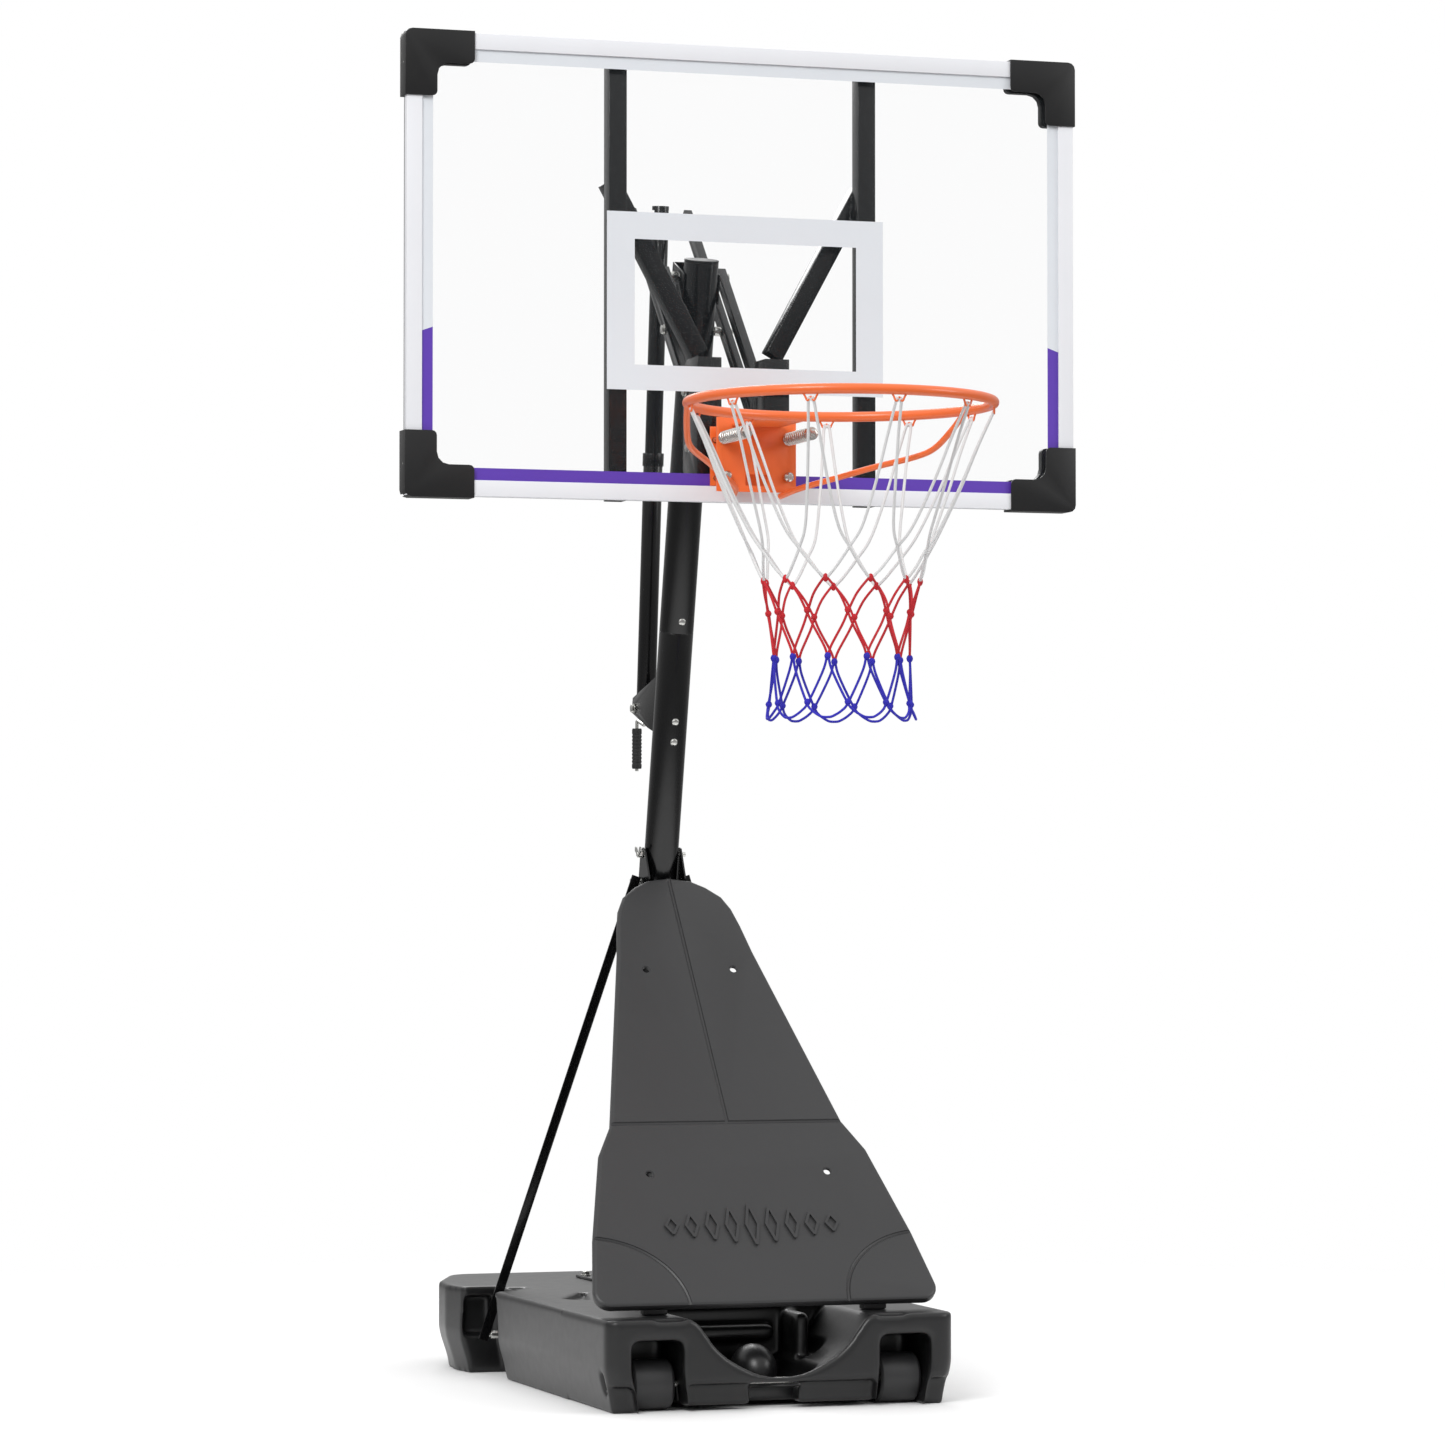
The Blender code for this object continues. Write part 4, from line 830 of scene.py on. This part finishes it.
def strut(side, sign):
    """A narrow angle bar from the clevis bolt to the base's notch."""
    top = on_pole(CLEVIS_Z)
    upper = Vector((sign * STRUT_TOP_X, top.y, top.z))
    lower = Vector((sign * STRUT_FOOT.x, STRUT_FOOT.y, STRUT_FOOT.z))
    way = (lower - upper).normalized()
    start, end = upper - way * 0.006, lower + way * 0.011
    leg, thick = 0.0085, 0.0026
    angle = (
        (0.0, -leg, 0.0), (sign * thick, -leg, 0.0), (sign * thick, leg - thick, 0.002),
        (sign * STRUT_LEG, leg - thick, 0.0), (sign * STRUT_LEG, leg, 0.0), (0.0, leg, 0.002),
    )
    mesh = slab(rounded(angle, 3), (end - start).length, along(start, end))
    shown("strut_%s_finished" % side, mesh, STEEL, "stand", "black_steel", "strut_" + side)


def lift():
    for side, sign in SIDES:
        for node in ("lower_arm_" + side, "upper_arm_" + side):
            refined(node, STEEL, "black_steel", 0.0012, 3)
    outer_end = 0.440
    profile = ((0.0165, -0.010), (0.0165, outer_end), (0.0152, outer_end), (0.0152, -0.010))
    start = CRANK_PIVOT
    outer = lathe(profile, start, start + CRANK_AXIS, 48, ring=True, soft=0.0005)
    collar = lathe(
        ((0.0165, 0.418), (0.0182, 0.418), (0.0182, 0.4405), (0.0150, 0.4405)), start, start + CRANK_AXIS,
        48, soft=0.0006,
    )
    shown(
        "crank_outer_tube_finished", merged(outer, collar), STEEL, "screw_tube", "black_steel",
        "crank_outer_tube",
    )
    refined("crank_inner_tube", STEEL, "black_steel", 0.0004, 2)
    for side, sign in SIDES:
        node = "crank_pivot_" + side
        start, end, length, place = inward(node, sign)
        parts = [
            rod(0.004, 0.001, length, start, end, 24),
            hexagon(0.0074, 0.0, 0.0042, place),
            rod(0.0082, 0.0042, 0.0052, start, end, 32, soft=0.0003),
        ]
        bright(node, *parts)
    eye = CRANK_PIVOT + CRANK_AXIS * -0.0133
    elbow = CRANK_PIVOT + CRANK_AXIS * -0.030
    swing = elbow + POLE_NORMAL * 0.050
    drop = Vector((0.0, 0.010, -1.0)).normalized()
    bend = 0.010
    path = [
        eye, elbow + CRANK_AXIS * bend, elbow + CRANK_AXIS * bend * 0.25 + POLE_NORMAL * bend * 0.25,
        elbow + POLE_NORMAL * bend, swing - POLE_NORMAL * bend,
        swing - POLE_NORMAL * bend * 0.25 + drop * bend * 0.25, swing + drop * bend, swing + drop * 0.088,
    ]
    shown(
        "crank_handle_finished", tubes([smooth_line(path, 8)], 0.0030, 5), ZINC, "crank", "bright_steel",
        "crank_handle",
    )
    start = swing + drop * 0.014
    profile = [(0.0034, 0.0), (0.0078, 0.0), (0.0085, 0.003)]
    for k in range(9):
        at = 0.009 + 0.0062 * k
        profile += [(0.0085, at), (0.0077, at + 0.0012), (0.0077, at + 0.0026), (0.0085, at + 0.0038)]
    profile += [(0.0085, 0.067), (0.0076, 0.070), (0.0034, 0.070)]
    grip = lathe(profile, start, start + drop, 40, ring=True, soft=0.0004, segments=2)
    shown("crank_grip_finished", grip, RUBBER, "grip", "grip_rubber", "crank_grip")
    screw = frame["nodes"]["lift_screw"]
    for place in screw.material_slots:
        place.material = ZINC


# ---------------------------------------------------------------- front cover
def cover_frame(depth):
    """Local X across, Y up the slope, Z out of the front; depth is below the front face."""
    up = Vector((0.0, math.cos(COVER_SLOPE), math.sin(COVER_SLOPE)))
    out = Vector((0.0, -math.sin(COVER_SLOPE), math.cos(COVER_SLOPE)))
    return Matrix.Translation(COVER_FOOT - out * depth) @ Matrix((X, up, out)).transposed().to_4x4()


def inset(outline, distance):
    """A closed outline moved inwards, point by point along the mean of its two normals."""
    points = [Vector(p) for p in outline]
    area = sum(a.x * b.y - b.x * a.y for a, b in zip(points, points[1:] + points[:1]))
    turn = 1 if area > 0 else -1
    out = []
    for i, point in enumerate(points):
        before = (point - points[i - 1]).normalized()
        after = (points[(i + 1) % len(points)] - point).normalized()
        normal = Vector((-(before.y + after.y), before.x + after.x)).normalized() * turn
        lean = max(0.4, Vector((-before.y, before.x)).dot(normal * turn))
        out.append(tuple(point + normal * distance / lean))
    return out


def cover():
    half = list(COVER_OUTLINE)
    outline = rounded(half + [(0.0, COVER_CROWN, 0.0)] + [(-x, y, r) for x, y, r in reversed(half)], 10)
    place = cover_frame(COVER_THICKNESS)
    rings = (
        (0.0, 0.0015), (0.0035, 0.0), (0.0105, 0.0), (0.0135, 0.0009), (0.0153, 0.0030),
        (COVER_THICKNESS, 0.0055),
    )
    bm = bmesh.new()
    rows = [[bm.verts.new((x, y, z)) for x, y in inset(outline, by)] for z, by in rings]
    for low, high in zip(rows, rows[1:]):
        for i in range(len(low)):
            j = (i + 1) % len(low)
            bm.faces.new((low[i], low[j], high[j], high[i]))
    bm.faces.new(rows[-1])
    bm.faces.new(list(reversed(rows[0])))
    bmesh.ops.recalc_face_normals(bm, faces=bm.faces)
    bmesh.ops.transform(bm, matrix=place, verts=bm.verts)
    made = linked("cover", as_mesh(bm, "cover"))

    waist = 0.355
    top = COVER_THICKNESS + 0.0008
    groove = 0.0040
    lines = [
        [(0.0, waist, top), (0.0, 0.870, top)],
        [(-0.230, waist, top), (0.230, waist, top)],
    ]
    for sign in (-1, 1):
        arc = []
        for step in range(25):
            t = math.radians(-6 + 102 * step / 24)
            arc.append((sign * (0.290 - 0.156 * math.cos(t)), -0.002 + 0.134 * math.sin(t), top))
        lines.append(arc)
    for line in lines:
        cut(made, tubes([[place @ Vector(p) for p in line]], groove, 2))
    for x, up in COVER_HOLES:
        for sign in (-1, 1):
            centre = place @ Vector((sign * x, up, 0.0))
            out = place.to_3x3() @ Z
            deep = COVER_THICKNESS
            cut(
                made,
                lathe(
                    (
                        (0, -0.01), (0.0060, -0.01), (0.0060, deep - 0.0016), (0.0078, deep + 0.0002),
                        (0.0078, deep + 0.01), (0, deep + 0.01),
                    ),
                    centre, centre + out, 32, soft=0.0,
                ),
            )
    ribbed_back(made, outline, place)
    shown("front_cover_finished", made, COVER, "stand", "cover_plastic", "front_cover", sharp=28)

    feet = []
    for sign in (-1, 1):
        x = sorted((sign * 0.165, sign * 0.205))
        feet.append(block((x[0], -0.172, BASE_HEIGHT + 0.0003), (x[1], -0.150, 0.186), 0.003))
    shown("cover_feet", merged(*feet), COVER, "stand", "cover_plastic")
    ornament(place)


def ribbed_back(made, outline, place):
    """Hollows the cover out from behind, leaving a rim and crossing ribs."""
    hollow = linked(
        "hollow", slab(inset(outline, 0.0075), 0.0125, place @ Matrix.Translation((0, 0, -0.0025))),
    )
    for up in (0.115, 0.230, 0.348, 0.465, 0.580, 0.700):
        cut(hollow, block((-0.4, up - 0.0016, -0.02), (0.4, up + 0.0016, 0.05), place=place))
    for x in (-0.165, -0.055, 0.055, 0.165):
        cut(hollow, block((x - 0.0016, -0.1, -0.02), (x + 0.0016, 0.9, 0.05), place=place))
    mesh = baked(hollow)
    bpy.data.objects.remove(hollow, do_unlink=True)
    cut(made, mesh)


def ornament(place):
    """A plain row of raised lozenges, widest in the middle."""
    parts = []
    step = 0.034
    for k in range(-4, 5):
        tall = 0.050 - 0.0075 * abs(k)
        wide = 0.0125
        x, y = k * step, 0.150
        outer = ((x - wide, y), (x, y - tall), (x + wide, y), (x, y + tall))
        lozenge = linked(
            "lozenge",
            slab(
                rounded([(a, b, 0.003) for a, b in outer], 4), 0.0058,
                place @ Matrix.Translation((0, 0, COVER_THICKNESS - 0.0018)),
            ),
        )
        if tall > 0.02:
            core = [(x + (a - x) * 0.62, y + (b - y) * 0.62) for a, b in outer]
            cut(lozenge, slab(core, 0.0100, place @ Matrix.Translation((0, 0, COVER_THICKNESS - 0.0002))))
        bm = bmesh.new()
        bm.from_mesh(lozenge.data)
        bpy.data.objects.remove(lozenge, do_unlink=True)
        parts.append(as_mesh(bm, "lozenge"))
    shown("cover_ornament", merged(*parts), COVER, "stand", "cover_plastic")


# ---------------------------------------------------------------- base
def base():
    tank = linked("tank", slab(rounded(mirrored(BASE_OUTLINE), 12), BASE_HEIGHT))
    facing = Matrix.Rotation(math.radians(90), 4, "X")

    # The valley between the front lobes: one smooth S on each side
    s_curve = [
        (0.166, 0.1500), (0.154, 0.1475), (0.144, 0.1395), (0.131, 0.1230), (0.114, 0.1000),
        (0.092, 0.0810), (0.066, 0.0660), (0.038, 0.0540), (0.014, 0.0500), (0.0, 0.0495),
    ]
    right = smooth_line([(x, z, 0) for x, z in s_curve], 6)
    lip = [(p.x, p.y) for p in right] + [(-p.x, p.y) for p in reversed(right[:-1])]
    above = [(0.166, 0.20)] + lip + [(-0.166, 0.20)]
    cut(tank, slab(above, 0.240, Matrix.Translation((0, -0.030, 0)) @ facing))
    cut(tank, block((-0.066, -0.236, 0.032), (0.066, -0.046, 0.120), 0.016, 4))
    cut(tank, block((-0.112, -0.150, 0.066), (0.112, -0.034, 0.190), 0.022, 4))
    join(tank, blob((-0.004, -0.118, 0.050), (0.038, 0.052, 0.044), 3))
    join(tank, block((-0.098, -0.064, 0.092), (0.052, -0.020, 0.118), 0.009, 3))
    join(tank, block((0.072, -0.110, 0.045), (0.096, -0.020, 0.140), 0.010, 3))
    # A raised bead along the valley's front lip
    bead = [Vector((x, BASE_FRONT + 0.0055, z - 0.0015)) for x, z in lip if abs(x) < 0.146]
    join(tank, tubes([bead], 0.0042, 3))

    # Undercut below the lobes and the two pads between the wheels
    cut(tank, block((-0.42, -0.30, -0.02), (-0.252, BASE_FRONT + 0.020, 0.042), 0.004, 2))
    cut(tank, block((0.252, -0.30, -0.02), (0.42, BASE_FRONT + 0.020, 0.042), 0.004, 2))
    cut(tank, block((-0.162, -0.30, -0.02), (0.162, BASE_FRONT + 0.022, 0.043), 0.003, 2))
    cut(tank, block((-0.050, -0.30, -0.02), (0.034, BASE_FRONT + 0.060, 0.041), 0.003, 2))
    cut(tank, block((-0.170, -0.30, -0.02), (0.170, -0.16, 0.008), 0.002, 2))
    cut(tank, block((-0.270, WHEEL.y - 0.006, -0.01), (0.270, WHEEL.y + 0.006, WHEEL.z + 0.006)))
    for side, sign in SIDES:
        x = sorted((sign * WHEEL_FROM, sign * WHEEL_TO))
        cut(tank, block((x[0], -0.30, -0.03), (x[1], -0.135, 0.114), 0.012, 4))
        # A shallow dip in the top edge under each of the cover's feet
        x = sorted((sign * 0.160, sign * 0.212))
        cut(tank, block((x[0], -0.30, 0.1430), (x[1], -0.230, 0.17), 0.004, 2))
        # Notch for the strut, narrower at the top, with a pocket in the wing's front face
        notch = (
            (0.368, -0.01), (0.372, 0.085), (0.384, 0.162), (0.487, 0.162), (0.497, 0.075), (0.501, -0.01),
        )
        x = sorted((sign * NOTCH_WALL, sign * 0.42))
        turn = Matrix.Rotation(math.radians(90), 4, "Y") @ Matrix.Rotation(math.radians(90), 4, "Z")
        cut(tank, slab(notch, x[1] - x[0], Matrix.Translation((x[0], 0, 0)) @ turn))
        x = sorted((sign * 0.268, sign * 0.318))
        cut(tank, block((x[0], 0.482, 0.064), (x[1], 0.518, 0.130), 0.008, 3))
        # Axle slot ends in the lobe's outer face
        x = sorted((sign * 0.262, sign * 0.30))
        cut(tank, block((x[0], -0.226, 0.030), (x[1], -0.212, 0.062), 0.003, 2))
        tri = [(sign * a, b) for a, b in ((0.229, 0.196), (0.199, 0.153), (0.144, 0.355))]
        cut(
            tank,
            slab(
                rounded([(a, b, 0.006) for a, b in tri], 4), 0.05,
                Matrix.Translation((0, 0, BASE_HEIGHT - 0.010)),
            ),
        )
        x = sorted((sign * 0.252, sign * 0.224))
        cut(tank, block((x[0], 0.414, BASE_HEIGHT - 0.008), (x[1], 0.456, 0.17), 0.004, 2))

    soften = tank.modifiers.new("voxels", "REMESH")
    soften.mode = "VOXEL"
    soften.voxel_size = 0.0038
    baked(tank)
    bm = bmesh.new()
    bm.from_mesh(tank.data)
    for _ in range(5):
        bmesh.ops.smooth_vert(
            bm, verts=bm.verts, factor=0.5, use_axis_x=True, use_axis_y=True, use_axis_z=True,
        )
    for vert in bm.verts:
        low = max(0.0, 1 - vert.co.z / 0.075)
        low = low * low * (3 - 2 * low)
        vert.co.x *= 1 - 0.045 * low
        middle = 0.26
        if vert.co.y > -0.10:
            vert.co.y = middle + (vert.co.y - middle) * (1 - 0.030 * low)
    bm.to_mesh(tank.data)
    bm.free()
    shown("base_tank_finished", tank, BASE, "stand", "base_plastic", "base_tank", sharp=70)

    axle = rod(
        0.005, 0.0, 0.524, Vector((-0.262, WHEEL.y, WHEEL.z)), Vector((0.262, WHEEL.y, WHEEL.z)), 32,
        soft=0.001,
    )
    shown("axle_rod_finished", axle, ZINC, "stand", "bright_steel", "axle_rod")
    for side, sign in SIDES:
        wheel(side, sign)
    centre = Vector((*FILL_CAP, BASE_HEIGHT))
    profile = (
        (0, 0.0), (0.031, 0.0), (0.031, 0.0095), (0.0285, 0.0125), (0.0200, 0.0130), (0.0185, 0.0105),
        (0, 0.0105),
    )
    cap = linked("cap", lathe(profile, centre, centre + Z, 72, soft=0.0008))
    for k in range(24):
        angle = math.tau * k / 24
        at = centre + Vector((math.cos(angle), math.sin(angle), 0)) * 0.0318
        cut(cap, rod(0.0014, 0.002, 0.02, at, at + Z, 12, soft=0.0))
    grip = block((-0.0165, -0.0024, 0.0090), (0.0165, 0.0024, 0.0140), 0.001, 2, Matrix.Translation(centre))
    shown("fill_cap_finished", merged(cap.data, grip), TRIM, "fill_cap", "trim_plastic", "fill_cap")
    bpy.data.objects.remove(cap, do_unlink=True)


def wheel(side, sign):
    half = WHEEL_HALF
    centre = Vector((sign * WHEEL.x, WHEEL.y, WHEEL.z))
    profile = (
        (0.0053, -half + 0.004), (0.0120, -half + 0.0015), (0.0140, -half + 0.008), (0.0290, -half + 0.008),
        (0.0320, -half), (0.0368, -half), (0.0398, -half + 0.0045), (0.0400, 0.0), (0.0398, half - 0.0045),
        (0.0368, half), (0.0320, half), (0.0290, half - 0.008), (0.0140, half - 0.008),
        (0.0120, half - 0.0015), (0.0053, half - 0.004),
    )
    tyre = lathe(profile, centre, centre + X, 96, ring=True, soft=0.0012)
    ribs = []
    for k in range(6):
        turn = Matrix.Translation(centre) @ Matrix.Rotation(math.tau * k / 6, 4, "X")
        for face in (-1, 1):
            x = sorted((face * (half - 0.009), face * (half - 0.0015)))
            ribs.append(block((x[0], -0.0016, 0.0115), (x[1], 0.0016, 0.0310), 0.0006, 1, turn))
    shown(
        "wheel_%s_finished" % side, merged(tyre, *ribs), TYRE, "wheel_" + side, "trim_plastic",
        "wheel_" + side,
    )


# ---------------------------------------------------------------- studio
def studio():
    bm = bmesh.new()
    bmesh.ops.create_grid(bm, x_segments=1, y_segments=1, size=30.0)
    floor = linked("floor", as_mesh(bm, "floor"))
    floor.location = (0, 0, -0.0002)
    pale = finish("pale_floor", (0.92, 0.92, 0.92), 0.85, 3, 0.02, vary=0.003)
    floor.data.materials.append(pale)
    nodes, link = pale.node_tree.nodes, pale.node_tree.links.new
    place, span, fade = (
        nodes.new(kind) for kind in ("ShaderNodeTexCoord", "ShaderNodeVectorMath", "ShaderNodeMapRange")
    )
    span.operation = "LENGTH"
    fade.interpolation_type = "SMOOTHSTEP"
    fade.inputs["From Min"].default_value = 1.2
    fade.inputs["From Max"].default_value = 3.2
    fade.inputs["To Min"].default_value = 1.0
    fade.inputs["To Max"].default_value = 0.0
    link(place.outputs["Object"], span.inputs[0])
    link(span.outputs["Value"], fade.inputs["Value"])
    link(fade.outputs["Result"], nodes["Principled BSDF"].inputs["Alpha"])

    world = bpy.data.worlds.new("soft_white")
    bpy.context.scene.world = world
    world.use_nodes = True
    nodes, link = world.node_tree.nodes, world.node_tree.links.new
    nodes.clear()
    out = nodes.new("ShaderNodeOutputWorld")
    seen, lit, mix, path = (nodes.new(kind) for kind in (
        "ShaderNodeBackground", "ShaderNodeBackground", "ShaderNodeMixShader", "ShaderNodeLightPath"))
    seen.inputs["Color"].default_value = (1, 1, 1, 1)
    seen.inputs["Strength"].default_value = 1.0
    lit.inputs["Strength"].default_value = 1.0
    sky, split, dome = (
        nodes.new(kind) for kind in ("ShaderNodeTexCoord", "ShaderNodeSeparateXYZ", "ShaderNodeMapRange")
    )
    dome.inputs["From Min"].default_value = -0.15
    dome.inputs["From Max"].default_value = 0.85
    dome.inputs["To Min"].default_value = 0.22
    dome.inputs["To Max"].default_value = 1.05
    link(sky.outputs["Generated"], split.inputs["Vector"])
    link(split.outputs["Z"], dome.inputs["Value"])
    link(dome.outputs["Result"], lit.inputs["Color"])
    link(path.outputs["Is Camera Ray"], mix.inputs["Fac"])
    link(lit.outputs["Background"], mix.inputs[1])
    link(seen.outputs["Background"], mix.inputs[2])
    link(mix.outputs["Shader"], out.inputs["Surface"])

    for name, at, aim, size, power in (
        ("key_light", (-4.5, -5.0, 5.5), (0, 0, 1.0), 3.0, 300.0),
        ("fill_light", (5.5, -3.5, 3.5), (0, 0, 0.9), 3.0, 95.0),
        ("back_light", (0.5, 6.0, 5.0), (0, 0, 1.2), 3.0, 120.0),
    ):
        lamp = bpy.data.lights.new(name, "AREA")
        lamp.shape = "SQUARE"
        lamp.size = size
        lamp.energy = power
        obj = linked(name, lamp)
        obj.location = at
        obj.rotation_euler = (Vector(aim) - Vector(at)).to_track_quat("-Z", "Y").to_euler()

    data = bpy.data.cameras.new("camera")
    data.lens = 128.37
    data.sensor_width = 36.0
    camera = linked("camera", data)
    camera.location = (-2.6470, -8.0101, 0.8324)
    camera.rotation_euler = (math.radians(91.795), 0.0, math.radians(-18.175))
    bpy.context.scene.camera = camera
    bpy.context.scene.view_settings.view_transform = "Standard"


studio()
board()
bracket_bolts()
rim()
net()
pole()
lift()
cover()
base()
